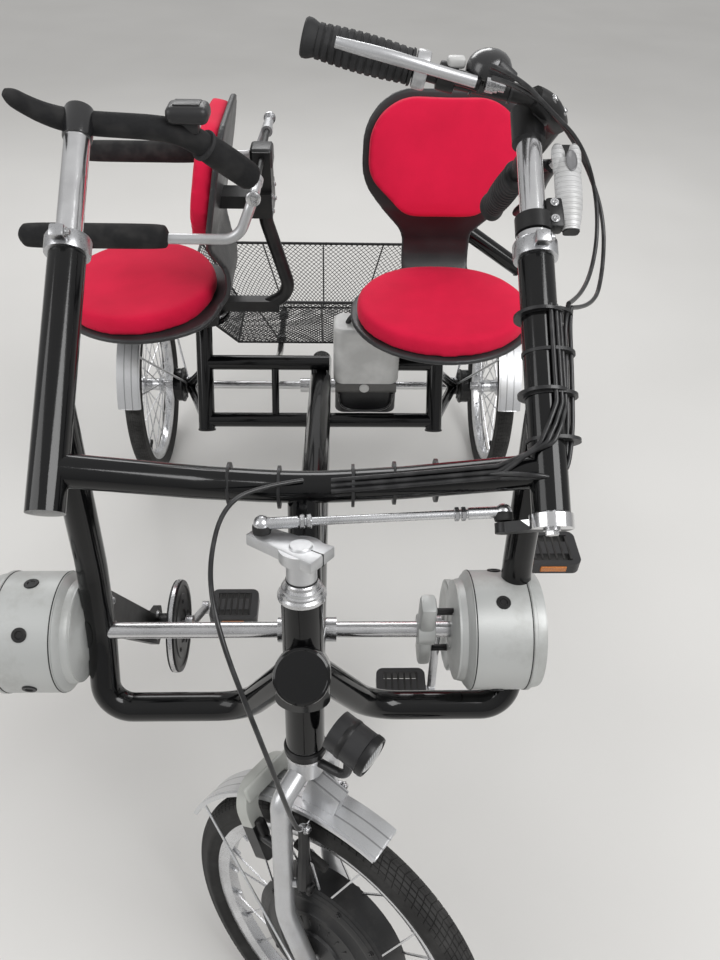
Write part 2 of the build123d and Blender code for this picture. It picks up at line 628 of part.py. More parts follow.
guide_top = brake_arm + HEAD_DIR * 34 + guide_out * 30
fork += rod(brake_arm, guide_top, 3.2)
fork += disc(-FORK_HALF - 22, FORK_HALF + 22, FORK_AXLE_R, FRONT_HUB.Y, FRONT_HUB.Z)
put("fork", steered(fork))

# Upper headset and the split clamp lever above it that turns the fork
headset_foot = head_high + HEAD_DIR * 1
lever = rod(headset_foot, headset_foot + HEAD_DIR * 14, 24)
lever += rod(headset_foot + HEAD_DIR * 14, lever_foot, 18)
lever += rod(lever_foot, lever_foot + HEAD_DIR * LEVER_THICK, 26)
lever_plane = Plane(origin=lever_foot, x_dir=(1, 0, 0), z_dir=tuple(HEAD_DIR))
lever += extrude(lever_plane * (Pos(0, LEVER_LENGTH / 2) * Rectangle(24, LEVER_LENGTH)), amount=LEVER_THICK)
lever_tip = lever_foot + HEAD_BACK * LEVER_LENGTH
STUD_R = 4
BALL_LIFT = 12
lever += rod(lever_tip, lever_tip + HEAD_DIR * LEVER_THICK, 12)
lever += rod(lever_tip, lever_tip + HEAD_DIR * (LEVER_THICK + BALL_LIFT + 2), STUD_R)
put("steering_lever", steered(lever - fork))

# Front wheel: tyre, spoked rim and hub motor
front_tyre, front_rim = wheel_pieces(MOTOR_R - 6, MOTOR_WIDTH / 2 - 18, MOTOR_SPOKE_COUNT, FRONT_HUB)
motor_half = MOTOR_WIDTH / 2
motor_bore = FORK_AXLE_R + CLEAR
motor = wheel_turned(ring_profile([
    (motor_bore, -motor_half), (26, -motor_half), (40, -motor_half + 7),
    (MOTOR_R - 12, -motor_half + 12), (MOTOR_R, -motor_half + 18), (MOTOR_R, motor_half - 18),
    (MOTOR_R - 12, motor_half - 12), (40, motor_half - 7), (26, motor_half), (motor_bore, motor_half),
]))
motor = Location(tuple(FRONT_HUB)) * motor
put("front_tyre", steered(front_tyre))
put("hub_motor", steered(motor))
put("front_rim", steered(front_rim - motor))

# Front mudguard with its wire stays
FRONT_FENDER_FROM = 12
FRONT_FENDER_TO = 92
STAY_AT = 20
front_guard = fender(FRONT_FENDER_FROM, FRONT_FENDER_TO, FRONT_HUB)
stay_way = Vector(0, cos(radians(STAY_AT)), sin(radians(STAY_AT)))
for side in (-1, 1):
    tip = FRONT_HUB + stay_way * (FENDER_R - 4) + Vector(side * (FENDER_WIDTH / 2 - 3), 0, 0)
    foot = FRONT_HUB + stay_way * FORK_AXLE_R + Vector(side * (FORK_HALF + BLADE_R + 4), 0, 0)
    front_guard += rod(foot, tip, STAY_WIRE_R - 1)
front_guard += block((-12, -1350, 508), (12, -1300, 552))
put("front_fender", steered(front_guard - fork))

# Head lamp on a bent arm in front of the crown
LAMP_R = 26
LAMP_LENGTH = 56
lamp_back = head_point(640) - HEAD_BACK * 48
lamp = rod(lamp_back, lamp_back + Vector(0, -LAMP_LENGTH, 0), LAMP_R)
lamp = fillet(lamp.edges().group_by(Axis.Y)[0], 8)
lamp += bent_tube([
    head_point(572) - HEAD_BACK * 20,
    head_point(572) - HEAD_BACK * 66,
    lamp_back + Vector(0, -24, -10)],
    [16], 6)
put("head_lamp", steered(lamp - fork))

# Ring lock that straddles the tyre and the mudguard behind the fork
LOCK_ANGLE = 50
LOCK_THICK = 20
lock_way = Vector(0, cos(radians(LOCK_ANGLE)), sin(radians(LOCK_ANGLE)))
lock_plane = Plane(origin=tuple(FRONT_HUB), x_dir=(1, 0, 0),
                   z_dir=(0, -sin(radians(LOCK_ANGLE)), cos(radians(LOCK_ANGLE))))
lock_outline = FilletPolyline(
    (-58, 186), (-58, 298), (58, 298), (58, 186), (36, 186), (36, 276), (-36, 276), (-36, 186),
    radius=[8, 40, 40, 8, 8, 18, 18, 8], close=True)
ring_lock = extrude(lock_plane * make_face(lock_outline), amount=LOCK_THICK / 2, both=True)
for side in (-1, 1):
    lug_start = FRONT_HUB + lock_way * 226 + Vector(side * 48, 0, 0)
    ring_lock += rod(lug_start, head_point(452) + Vector(side * FORK_HALF, 0, 0), 6)
put("ring_lock", steered(ring_lock - fork))

# Driver's riser: a silver tube that turns in its post, with the steering lever below the post
LEVER_DROP = 18
DRIVE_LEVER_THICK = 12
drive_foot = post_point(1, -LEVER_DROP)
riser = rod(post_point(1, POST_FLOOR + 3), post_point(1, RISER_TOP), RISER_R)
riser += rod(post_point(1, POST_LENGTH + 1), post_point(1, POST_LENGTH + 14), RISER_R + 6)
riser += rod(drive_foot, post_point(1, POST_FLOOR + 4), PIN_R)
riser += rod(drive_foot, post_point(1, -2), POST_R + 3)
drive_plane = Plane(origin=drive_foot, x_dir=(1, 0, 0), z_dir=tuple(POST_DIR))
drive_arm = Pos(0, LEVER_LENGTH / 2) * Rectangle(20, LEVER_LENGTH)
riser += extrude(drive_plane * drive_arm, amount=DRIVE_LEVER_THICK)
drive_tip = drive_foot + POST_DOWN * LEVER_LENGTH
riser += rod(drive_tip, drive_tip + POST_DIR * DRIVE_LEVER_THICK, 11)
put("driver_riser", handlebar_turned(riser))

# Driver's handlebar: black stem, swept bar and two grips
BAR_R = 11
GRIP_R = 16.5
CLAMP_ALONG = RISER_TOP - 12
BAR_UP = POST_DOWN * -1


def bar_point(side, across, up, lift):
    """A point of a handlebar: across it, up in its plane, and lifted along its post."""
    return post_point(side, CLAMP_ALONG + lift) + Vector(across, 0, 0) + BAR_UP * up


BAR_OFFSET = 5
driver_points = []
for across, up, lift in ((-228, -172, 66), (-103, -50, 28), (-30, 26, 8)):
    driver_points.append(bar_point(1, across, up, lift))
for across, up, lift in ((30, 26, 8), (103, -50, 28), (228, -172, 66)):
    driver_points.append(bar_point(1, across, up, lift))
driver_bar = bent_tube(driver_points, [60, 40, 40, 60], BAR_R)
for end, knee in ((driver_points[0], driver_points[1]), (driver_points[-1], driver_points[-2])):
    way = (end - knee).normalized()
    driver_bar += rod(end - way * 132, end + way * 3, GRIP_R)
driver_bar += rod(post_point(1, CLAMP_ALONG), bar_point(1, 0, 26, 8), 14)
driver_bar += rod(post_point(1, CLAMP_ALONG - 26), post_point(1, RISER_TOP + 8), RISER_R + 5)
bar_set = driver_bar.rotate(Axis(tuple(post_point(1, 0)), tuple(POST_DIR)), -BAR_OFFSET)
put("driver_bar", handlebar_turned(bar_set), "driver_riser")

# Parking brake lever, clamped round the driver's riser
LEVER_X = 46
parking = rod(post_point(1, 350), post_point(1, 366), RISER_R + 6)
parking -= rod(post_point(1, 349), post_point(1, 367), RISER_R)
parking += rod(post_point(1, 358) + Vector(RISER_R + 3, 0, 0), post_point(1, 358) + Vector(LEVER_X, 0, 0), 6)
lever_start = post_point(1, 350) + Vector(LEVER_X, 0, 0)
lever_body = Plane(origin=lever_start, x_dir=(1, 0, 0), z_dir=tuple(POST_DIR)) * RectangleRounded(20, 14, 5)
parking += extrude(lever_body, amount=118)
put("parking_lever", parking)

# Passenger's handlebar: a fixed silver riser, a foam covered bar, its grip and a bell
passenger_riser = rod(post_point(-1, POST_FLOOR), post_point(-1, RISER_TOP), RISER_R)
passenger_riser += rod(post_point(-1, POST_FLOOR), post_point(-1, POST_LENGTH), BORE_R)
passenger_riser += rod(post_point(-1, POST_LENGTH), post_point(-1, POST_LENGTH + 6), RISER_R + 6)
passenger_points = [bar_point(-1, -74, 33, 0), bar_point(-1, -34, 12, 0), bar_point(-1, 66, -8, 0),
                    bar_point(-1, 130, -18, 0), bar_point(-1, 208, -96, 0)]
passenger_bar = bent_tube(passenger_points, [50, 60, 40], 14)
grip_way = (passenger_points[-1] - passenger_points[-2]).normalized()
passenger_bar += rod(passenger_points[-2] + grip_way * 14, passenger_points[-1] + grip_way * 2, GRIP_R)
passenger_bar += rod(post_point(-1, CLAMP_ALONG - 26), post_point(-1, RISER_TOP + 6), RISER_R + 5)
bell_place = bar_point(-1, 112, 2, 0) + Vector(0, 0, 11)
bell = Location(tuple(bell_place)) * Box(50, 38, 20)
passenger_bar += fillet(bell.edges(), 6)
put("passenger_riser", passenger_riser, "side_frame_left")
put("passenger_bar", passenger_bar, "passenger_riser")

# Tie rod between the two steering levers, with a ball housing at each end
BALL_R = 10
ball_a = turned_point(lever_tip + HEAD_DIR * (LEVER_THICK + BALL_LIFT), HEAD_FOOT, HEAD_DIR, STEER_REST)
ball_b = turned_point(drive_tip + POST_DIR * (DRIVE_LEVER_THICK + BALL_R + 3.5),
                      post_point(1, 0), POST_DIR, STEER_REST)
tie_way = (ball_b - ball_a).normalized()
tie_rod = rod(ball_a, ball_b, 5)
for ball, way in ((ball_a, tie_way), (ball_b, tie_way * -1)):
    tie_rod += Pos(*ball) * Sphere(BALL_R)
    tie_rod += rod(ball, ball + way * 42, 7)
tie_rod -= rod(ball_a - HEAD_DIR * (BALL_R + 2), ball_a + HEAD_DIR * 4, STUD_R + CLEAR)
put("tie_rod", tie_rod)

# Cranks and, on each arm's pin, a pedal; the angle is that of the inner arm from straight back
PIN_END_R = 5
for name, side, angle in (("left", -1, -41), ("right", 1, -100)):
    centre = side * RIDER_X
    reach = CRANK_X_IN + CRANK_THICK / 2
    cranks = disc(centre - reach, centre + reach, SPINDLE_R, CRANK_Y, CRANK_Z)
    for end, place in ((-side, "inner"), (side, "outer")):
        arm_x = centre + end * CRANK_X_IN
        length = CRANK_LENGTH if place == "inner" else -CRANK_LENGTH
        tip_y = CRANK_Y + length * cos(radians(angle))
        tip_z = CRANK_Z + length * sin(radians(angle))
        low_x = arm_x - CRANK_THICK / 2
        high_x = arm_x + CRANK_THICK / 2
        cranks += disc(low_x, high_x, 18, CRANK_Y, CRANK_Z)
        cranks += disc(low_x, high_x, 13, tip_y, tip_z)
        cranks += rod((arm_x, CRANK_Y, CRANK_Z), (arm_x, tip_y, tip_z), CRANK_THICK / 2 + 2)
        pin_x = arm_x + end * (PEDAL_OFFSET + PEDAL_WIDTH / 2 - 10)
        cranks += disc(min(arm_x, pin_x), max(arm_x, pin_x), PIN_END_R, tip_y, tip_z)
        pedal_place = Location((arm_x + end * PEDAL_OFFSET, tip_y, tip_z))
        pedal = Box(PEDAL_WIDTH, PEDAL_LENGTH, PEDAL_THICK)
        pedal = fillet(pedal.edges().filter_by(Axis.Z), 14)
        for row in (-1, 1):
            pedal -= Pos(0, row * 21, 0) * Box(PEDAL_WIDTH - 28, 15, PEDAL_THICK + 2)
        pedal = pedal_place * pedal
        bore_from = arm_x + end * (PEDAL_OFFSET - PEDAL_WIDTH / 2 - 1)
        bore_to = pin_x + end * 2
        pedal -= disc(min(bore_from, bore_to), max(bore_from, bore_to), PIN_END_R + CLEAR, tip_y, tip_z)
        put("pedal_" + name + "_" + place, pedal)
    put("cranks_" + name, cranks)

# Cable run: cables tied to the front of the driver's post, then along the crossbar
CABLE_R = 2.8
CABLE_COUNT = 3
TIE_TOP = 236
TIE_STEP = 98
cables = None
bar_end = post_point(1, CROSSBAR_ALONG)
bar_way = (bar_shoulder - bar_end).normalized()
for index in range(CABLE_COUNT):
    stops = []
    for along, turn in ((TIE_TOP + 8, 40), (124, 40), (98, 64), (76, 88)):
        around = radians(turn + 17 * index)
        out = Vector(cos(around), 0, 0) + POST_DOWN * -sin(around)
        stops.append(post_point(1, along) + out * (POST_R + CABLE_R + 1))
    lift = Vector(0, -0.62, 0.78) * (CROSSBAR_R + CABLE_R)
    row = Vector(0, -0.78, -0.62) * ((index - 1) * (2 * CABLE_R + 1))
    stops += [bar_end + bar_way * 62 + lift + row, bar_shoulder + lift + row,
              bar_dip + Vector(34, -4, 3) + lift + row]
    run = bent_tube(stops, [20, 20, 14, 14, 60], CABLE_R)
    cables = run if cables is None else cables + run
for along in (TIE_TOP, TIE_TOP - TIE_STEP):
    tie_ring = rod(post_point(1, along), post_point(1, along + 4), POST_R + 2 * CABLE_R + 3)
    cables += tie_ring - rod(post_point(1, along - 1), post_point(1, along + 5), POST_R)
put("cables", cables, "side_frame_right", "crossbar")

# Free cables: two loops from the driver's bar to the post, and the front brake's to its arm
guide_way = (guide_top - brake_arm).normalized()
guide_end = turned_point(guide_top + guide_way, HEAD_FOOT, HEAD_DIR, STEER_REST)
guide_next = turned_point(guide_top + guide_way * 39, HEAD_FOOT, HEAD_DIR, STEER_REST)
loop_end = post_point(1, TIE_TOP + 12)


def bend_radii(points):
    """For each corner of a route, the largest bend that its two runs leave room for."""
    radii = []
    for before, corner, after in zip(points, points[1:], points[2:]):
        half_turn = radians((corner - before).get_angle(after - corner)) / 2
        radii.append(0.45 * min((corner - before).length, (after - corner).length) / tan(half_turn))
    return radii


cable_routes = (
    ("cable_front_brake", [
        (0, -1100, 895), (-61, -1122, 903), (-90, -1160, 903), (-97, -1220, 890), (-90, -1270, 881),
        (-75, -1310, 850), (-54, -1345, 803), (-34, -1373, 748), (-21, -1386, 692), (-12, -1390, 638),
        tuple(guide_next), tuple(guide_end)]),
    ("cable_loop_a", [
        (208, -850, 1286), (249, -820, 1267), (297, -800, 1226), (352, -776, 1180), (384, -784, 1117),
        (386, -826, 1062), (360, -890, 1030), (loop_end.X + 31, loop_end.Y - 10, loop_end.Z + 14)]),
    ("cable_loop_b", [
        (214, -846, 1272), (262, -806, 1252), (322, -776, 1205), (372, -758, 1144), (402, -780, 1085),
        (396, -840, 1040), (374, -900, 1016), (loop_end.X + 38, loop_end.Y - 2, loop_end.Z + 4)]),
)
for name, route in cable_routes:
    corners = [Vector(point) for point in route]
    radii = bend_radii(corners)
    print(name, "bend radii", [round(radius) for radius in radii])
    line = FilletPolyline(*corners, radius=radii)
    put(name, sweep(Plane(origin=line @ 0, z_dir=line % 0) * Circle(CABLE_R), path=line))

# Stand the origin under the middle of the whole vehicle
whole = Compound(children=[Compound(shape.solids()) for shape in NODES.values()])
box = whole.bounding_box()
SHIFT = Vector(-(box.min.X + box.max.X) / 2, -(box.min.Y + box.max.Y) / 2, -box.min.Z)
for name, shape in NODES.items():
    solids = shape.solids()
    placed = Location(tuple(SHIFT)) * (solids[0] if len(solids) == 1 else Compound(solids))
    export_step(placed, "parts/" + name + ".step")
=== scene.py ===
from math import atan2, cos, degrees, hypot, pi, radians, sin

import bpy
from mathutils import Matrix, Vector


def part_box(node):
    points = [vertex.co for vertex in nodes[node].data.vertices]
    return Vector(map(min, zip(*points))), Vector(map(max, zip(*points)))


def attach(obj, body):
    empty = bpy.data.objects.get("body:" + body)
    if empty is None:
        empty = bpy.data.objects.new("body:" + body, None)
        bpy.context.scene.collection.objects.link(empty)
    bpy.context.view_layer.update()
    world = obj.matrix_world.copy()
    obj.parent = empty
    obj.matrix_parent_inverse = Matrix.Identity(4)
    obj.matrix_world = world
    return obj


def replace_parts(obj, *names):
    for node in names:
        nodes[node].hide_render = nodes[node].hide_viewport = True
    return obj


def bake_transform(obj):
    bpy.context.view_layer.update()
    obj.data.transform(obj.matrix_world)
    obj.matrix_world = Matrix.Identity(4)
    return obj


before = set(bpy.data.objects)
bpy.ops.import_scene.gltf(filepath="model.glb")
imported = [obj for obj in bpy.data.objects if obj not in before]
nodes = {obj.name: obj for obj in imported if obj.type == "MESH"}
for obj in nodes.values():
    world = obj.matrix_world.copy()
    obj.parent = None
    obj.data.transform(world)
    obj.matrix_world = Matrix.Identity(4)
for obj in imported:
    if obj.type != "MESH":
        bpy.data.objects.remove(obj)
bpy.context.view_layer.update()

# Where things are
# The vehicle is drawn in millimetres from the middle of its rear axle on the ground,
# with its front towards -Y, as a frame builder's jig is marked out.
MIDDLE = Vector((0.035, 0.612789, 0.0))


def at(x, y, z):
    """A point given in millimetres from the middle of the rear axle on the ground."""
    return MIDDLE + Vector((x, y, z)) / 1000


def shift(way):
    """The move along a way."""
    return Matrix.Translation(way)


def spin(angle, axis):
    """The turn by an angle about an axis through zero."""
    return Matrix.Rotation(angle, 4, axis)


# Millimetres: the rear hubs, the handlebar posts, the cranks' and the drums' axes as depth and
# height, and the swivels of the seats.
HUB_HEIGHT = 252
HALF_TRACK = 475
POST_X = 282
CRANK_AXLE = (-940, 395)
CROSS_SHAFT = (-1140, 653)
SIDES = ((-1, "left"), (1, "right"))
driver_swivel = Vector((274, -135, 0))
passenger_swivel = Vector((-270, -180, 0))
vehicle = shift(MIDDLE) @ Matrix.Scale(0.001, 4)

# Camera, floor and light
# A person's eye height, standing in front of the vehicle and looking down over it.
SENSOR = 36
FOCAL_PIXELS = 758
PICTURE_HEIGHT = 960
EYE = (40, -1770, 1510)
camera_data = bpy.data.cameras.new("eye")
camera_data.sensor_fit = "VERTICAL"
camera_data.sensor_height = SENSOR
camera_data.lens = SENSOR * FOCAL_PIXELS / PICTURE_HEIGHT
camera = bpy.data.objects.new("eye", camera_data)
bpy.context.scene.collection.objects.link(camera)
sight_right = Vector((0.99952, -0.02183, 0.02187))
sight_up = Vector((-0.00136, 0.67594, 0.73695))
sight_back = Vector((-0.03087, -0.73663, 0.67559))
sight = Matrix((sight_right, sight_up, sight_back)).transposed().to_4x4()
camera.matrix_world = shift(at(*EYE)) @ sight
bpy.context.scene.camera = camera


class Socket:
    """An output of a shader node, on which arithmetic adds Math nodes."""

    def __init__(self, tree, source=None):
        self.tree = tree
        self.source = source

    def node(self, kind, settings=None, inputs=None, output=0):
        """Add a node: its settings first, then the values or links of its sockets."""
        made = self.tree.nodes.new("ShaderNode" + kind)
        for name, value in (settings or {}).items():
            setattr(made, name, value)
        for name, value in (inputs or {}).items():
            if isinstance(value, Socket):
                self.tree.links.new(value.source, made.inputs[name])
            else:
                made.inputs[name].default_value = value
        return Socket(self.tree, made.outputs[output])

    def maths(self, operation, first, second=0.0):
        return self.node("Math", {"operation": operation}, {0: first, 1: second})

    def __add__(self, other):
        return self.maths("ADD", self, other)

    def __sub__(self, other):
        return self.maths("SUBTRACT", self, other)

    def __rsub__(self, other):
        return self.maths("SUBTRACT", other, self)

    def __mul__(self, other):
        return self.maths("MULTIPLY", self, other)

    def __gt__(self, other):
        return self.maths("GREATER_THAN", self, other)

    def __lt__(self, other):
        return self.maths("LESS_THAN", self, other)

    def __abs__(self):
        return self.maths("ABSOLUTE", self)


class Finish:
    """A material under way: its place socket, its shader and what feeds it."""

    def __init__(self, name, **constants):
        self.material = bpy.data.materials.new(name)
        self.material.use_nodes = True
        self.tree = self.material.node_tree
        self.shader = self.tree.nodes["Principled BSDF"]
        self.start = Socket(self.tree)
        self.place = self.start.node("TexCoord", output="Object")
        for socket, value in constants.items():
            self.shader.inputs[socket.replace("_", " ")].default_value = value

    def split(self):
        """The X, Y and Z of the place on the piece."""
        return [self.start.node("SeparateXYZ", inputs={0: self.place}, output=axis) for axis in range(3)]

    def noise(self, scale, detail=3.0, rough=0.5, place=None):
        """Even cloudy noise from 0 to 1, of so many clouds a metre."""
        return self.start.node("TexNoise", inputs={
            "Vector": place or self.place, "Scale": scale, "Detail": detail, "Roughness": rough})

    def stretched(self, x, y, z):
        """The place, squeezed or stretched along each axis."""
        return self.start.node("Mapping", inputs={"Vector": self.place, "Scale": (x, y, z)})

    def spread(self, value, low, high, to_low=0.0, to_high=1.0):
        """A value's range brought to another range, and held there."""
        return self.start.node("MapRange", inputs={
            "Value": value, "From Min": low, "From Max": high, "To Min": to_low, "To Max": to_high})

    def mix(self, share, first, second):
        """A colour between two."""
        colours = {}
        for key, value in ((6, first), (7, second)):
            colours[key] = value if isinstance(value, Socket) else (*value, 1)
        return self.start.node("Mix", {"data_type": "RGBA"}, {0: share, **colours}, output=2)

    def bump(self, height, strength, distance, after=None):
        """Fine relief from a height."""
        inputs = {"Height": height, "Strength": strength, "Distance": distance}
        if after is not None:
            inputs["Normal"] = after
        return self.start.node("Bump", inputs=inputs)

    def feed(self, **sockets):
        """Connect or set the shader's sockets, and give the finished material."""
        for socket, value in sockets.items():
            target = self.shader.inputs[socket.replace("_", " ")]
            if isinstance(value, Socket):
                self.tree.links.new(value.source, target)
            else:
                target.default_value = value
        return self.material


def grained(name, grain, cloud, reach, tones, rough, relief, **constants):
    """A finish with fine relief, whose tone and roughness drift in soft clouds."""
    finish = Finish(name, **constants)
    fine = finish.noise(*grain)
    soft = finish.noise(*cloud)
    return finish.feed(
        Base_Color=finish.mix(finish.spread(soft, *reach), *tones),
        Roughness=finish.spread(soft, *rough),
        Normal=finish.bump(fine, *relief))


def plated(name, stretch, tone, rough):
    """Bright metal with fine drawn lines along the way it was polished."""
    finish = Finish(name, Metallic=1.0)
    lines = finish.noise(60, 6.0, 0.7, finish.stretched(*stretch))
    cloud = finish.noise(16, 4.0)
    dark = tuple(part * 0.72 for part in tone)
    return finish.feed(
        Base_Color=finish.mix(finish.spread(cloud, 0.35, 0.75), tone, dark),
        Roughness=finish.spread(lines, 0.3, 0.7, rough - 0.05, rough + 0.09),
        Normal=finish.bump(lines, 0.12, 0.0003))


def rubber(name, tone, rough, grain_size=900):
    """Vulcanised rubber with a fine grain and grey dust."""
    pale = tuple(part * 2.4 + 0.012 for part in tone)
    return grained(name, (grain_size, 3.0), (26, 6.0, 0.65), (0.45, 0.8), (tone, pale),
                   (0.3, 0.8, rough - 0.08, rough + 0.10), (0.30, 0.0005), Specular_IOR_Level=0.35)


def moulded(name, tone, rough, coat=0.0):
    """Injection moulded plastic with spark grain and slight shade changes."""
    pale = tuple(part * 1.35 + 0.004 for part in tone)
    return grained(name, (1300, 3.0), (18, 4.0), (0.4, 0.8), (tone, pale),
                   (0.3, 0.8, rough - 0.06, rough + 0.08), (0.30, 0.0004),
                   Coat_Weight=coat, Coat_Roughness=0.15)


def studio_floor():
    """Pale matt paper that carries the soft shadow."""
    finish = Finish("pale_floor", Roughness=0.9, Specular_IOR_Level=0.2)
    cloud = finish.noise(1.3, 2.0)
    tone = finish.mix(finish.spread(cloud, 0.3, 0.7), (0.70, 0.69, 0.67), (0.74, 0.73, 0.71))
    return finish.feed(Base_Color=tone)


bpy.ops.object.select_all(action="DESELECT")
bpy.ops.mesh.primitive_plane_add(size=14, location=(0, 1.5, -0.0005))
floor = bpy.context.object
floor.name = "floor"
floor.data.materials.append(studio_floor())

world = bpy.data.worlds.new("studio")
bpy.context.scene.world = world
world.use_nodes = True
sky = Socket(world.node_tree)
background = world.node_tree.nodes["Background"]
turned_up = sky.node("SeparateXYZ", inputs={0: sky.node("TexCoord", output="Generated")}, output=2)
band = sky.node("MapRange", inputs={"Value": turned_up, "From Min": -0.2,
                                    "From Max": 0.9, "To Min": 0.35, "To Max": 0.62})
seen = sky.node("LightPath", output="Is Camera Ray")
level = sky.node("Math", {"operation": "MULTIPLY_ADD"}, {0: seen, 1: 1.0 - band, 2: band})
world.node_tree.links.new(level.source, background.inputs["Strength"])
background.inputs["Color"].default_value = (1, 1, 1, 1)


def aimed(way, axis="Z"):
    """The turn that points an axis along a way."""
    return way.to_track_quat(axis, "Y").to_matrix().to_4x4()


def soft_lamp(name, place, aim, size, watts):
    """A softbox hung at a place and turned to its aim."""
    data = bpy.data.lights.new(name, "AREA")
    data.shape = "RECTANGLE"
    data.size, data.size_y = size
    data.energy = watts
    lamp = bpy.data.objects.new(name, data)
    bpy.context.scene.collection.objects.link(lamp)
    way = Vector(aim) - Vector(place)
    lamp.matrix_world = shift(place) @ aimed(way, "-Z")


soft_lamp("key", (1.9, -1.4, 3.2), (0, 0, 0.6), (1.8, 1.8), 62)
soft_lamp("fill", (-2.6, -1.2, 2.4), (0, 0, 0.6), (1.6, 2.2), 26)
soft_lamp("back", (-0.4, 2.9, 2.7), (0, 0, 0.7), (2.6, 1.0), 34)
bpy.context.scene.view_settings.view_transform = "Standard"

# Steering axes
# The fork turns about the head tube's axis and the driver's bar about its own post.
# Both stand parked, turned the same way.
PARKED = radians(55)
BAR_PARKED = radians(50)
HEAD_ANGLE = radians(73.5)
POST_ANGLE = radians(35)
FORK_RAKE = 40


def leaning(angle):
    """The way up an axis that leans back to an angle from level, and the way square to it."""
    return Vector((0, cos(angle), sin(angle))), Vector((0, sin(angle), -cos(angle)))


head_way, head_back = leaning(HEAD_ANGLE)
post_way, post_down = leaning(POST_ANGLE)
front_hub = Vector((0, -1415, 258.3))
head_foot = front_hub + head_back * FORK_RAKE


def head_point(z, back=0, across=0):
    """A point at a height on the steering axis, or so far behind and beside it, in millimetres."""
    axis = head_foot + head_way * ((z - head_foot.z) / head_way.z)
    return axis + head_back * back + Vector((across, 0, 0))


def post_point(side, along):
    """A handlebar post's axis, in millimetres up from its lower end."""
    return Vector((side * POST_X, -1170, 909)) + post_way * along


def about(point, way, angle):
    """The turn about an axis through a point given in millimetres."""
    centre = at(*point)
    return shift(centre) @ spin(angle, way) @ shift(-centre)


def only(piece):
    """Select one piece and nothing else."""
    bpy.ops.object.select_all(action="DESELECT")
    piece.select_set(True)
    bpy.context.view_layer.objects.active = piece


def only_finish(piece, material):
    """Give a piece one finish, in place of any that it has."""
    piece.data.materials.clear()
    piece.data.materials.append(material)


fork_turn = about(head_foot, head_way, PARKED)
bar_turn = about(post_point(1, 0), post_way, PARKED)

# How pieces are made and fitted
# Each piece is drawn in millimetres, joined, set in its place, finished and hung on its body.


def paint(names, material):
    """Put a finish on the solids named."""
    for name in names:
        slots = nodes[name].material_slots
        if len(slots):
            slots[0].material = material
        else:
            nodes[name].data.materials.append(material)


def frame_of(origin, along, across):
    """A local frame in millimetres at a point: Z along a way and X near another."""
    z = Vector(along).normalized()
    y = z.cross(Vector(across)).normalized()
    turn = Matrix((y.cross(z), y, z)).transposed().to_4x4()
    return shift(at(*origin)) @ turn @ Matrix.Scale(0.001, 4)


def joined(name, pieces):
    """Several meshes made one piece."""
    bpy.ops.object.select_all(action="DESELECT")
    for piece in pieces:
        piece.select_set(True)
    bpy.context.view_layer.objects.active = pieces[0]
    bpy.ops.object.join()
    pieces[0].name = name
    return pieces[0]


def fit(name, pieces, place, material, body, smooth=35):
    """Join pieces drawn in millimetres, set them in place, finish them and hang them on a body."""
    piece = joined(name, pieces)
    only(piece)
    piece.data.transform(place)
    bpy.ops.object.mode_set(mode="EDIT")
    bpy.ops.mesh.select_all(action="SELECT")
    bpy.ops.mesh.normals_make_consistent(inside=False)
    bpy.ops.object.mode_set(mode="OBJECT")
    bpy.ops.object.shade_smooth_by_angle(angle=radians(smooth))
    only_finish(piece, material)
    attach(piece, body)
    return piece


def turned(stations, sides=28):
    """A round piece along Z, turned to its (radius, height) stations."""
    bpy.ops.object.select_all(action="DESELECT")
    radius, height = stations[0]
    bpy.ops.mesh.primitive_circle_add(vertices=sides, radius=radius, fill_type="NGON",
                                      location=(0, 0, height))
    piece = bpy.context.object
    bpy.ops.object.transform_apply(location=True)
    bpy.ops.object.mode_set(mode="EDIT")
    bpy.ops.mesh.select_all(action="SELECT")
    for next_radius, next_height in stations[1:]:
        bpy.ops.mesh.extrude_region_move(TRANSFORM_OT_translate={"value": (0, 0, next_height - height)})
        share = next_radius / radius
        bpy.ops.transform.resize(value=(share, share, 1), center_override=(0, 0, next_height))
        radius, height = next_radius, next_height
    bpy.ops.object.mode_set(mode="OBJECT")
    return piece


def blocked(low, high, edge, segments=2):
    """A block between two corners with rounded edges."""
    bpy.ops.object.select_all(action="DESELECT")
    middle = [(a + b) / 2 for a, b in zip(low, high)]
    size = [b - a for a, b in zip(low, high)]
    bpy.ops.mesh.primitive_cube_add(size=1, location=middle, scale=size)
    piece = bpy.context.object
    bpy.ops.object.transform_apply(location=True, rotation=True, scale=True)
    modifier = piece.modifiers.new("edge", "BEVEL")
    modifier.width = edge
    modifier.segments = segments
    modifier.limit_method = "ANGLE"
    bpy.ops.object.modifier_apply(modifier=modifier.name)
    return piece


def drawn(points, radii, roundness=4):
    """A bar along one smooth line, with one radius or its own at each point."""
    data = bpy.data.curves.new("bar", "CURVE")
    data.dimensions = "3D"
    line = data.splines.new("NURBS")
    line.points.add(len(points) - 1)
    if not hasattr(radii, "__len__"):
        radii = [radii] * len(points)
    for knot, point, radius in zip(line.points, points, radii):
        knot.co = (*point, 1)
        knot.radius = radius
    line.order_u = 3
    line.use_endpoint_u = True
    line.resolution_u = 8
    data.bevel_depth = 1
    data.bevel_resolution = roundness
    data.use_fill_caps = True
    piece = bpy.data.objects.new("bar", data)
    bpy.context.scene.collection.objects.link(piece)
    only(piece)
    bpy.ops.object.convert(target="MESH")
    return bpy.context.object


def copied(piece, places):
    """Copies of a piece, each with its own mesh, at each place; the first model is used up."""
    made = []
    for place in places:
        twin = piece.copy()
        twin.data = piece.data.copy()
        bpy.context.scene.collection.objects.link(twin)
        twin.data.transform(place)
        made.append(twin)
    bpy.data.objects.remove(piece)
    return made


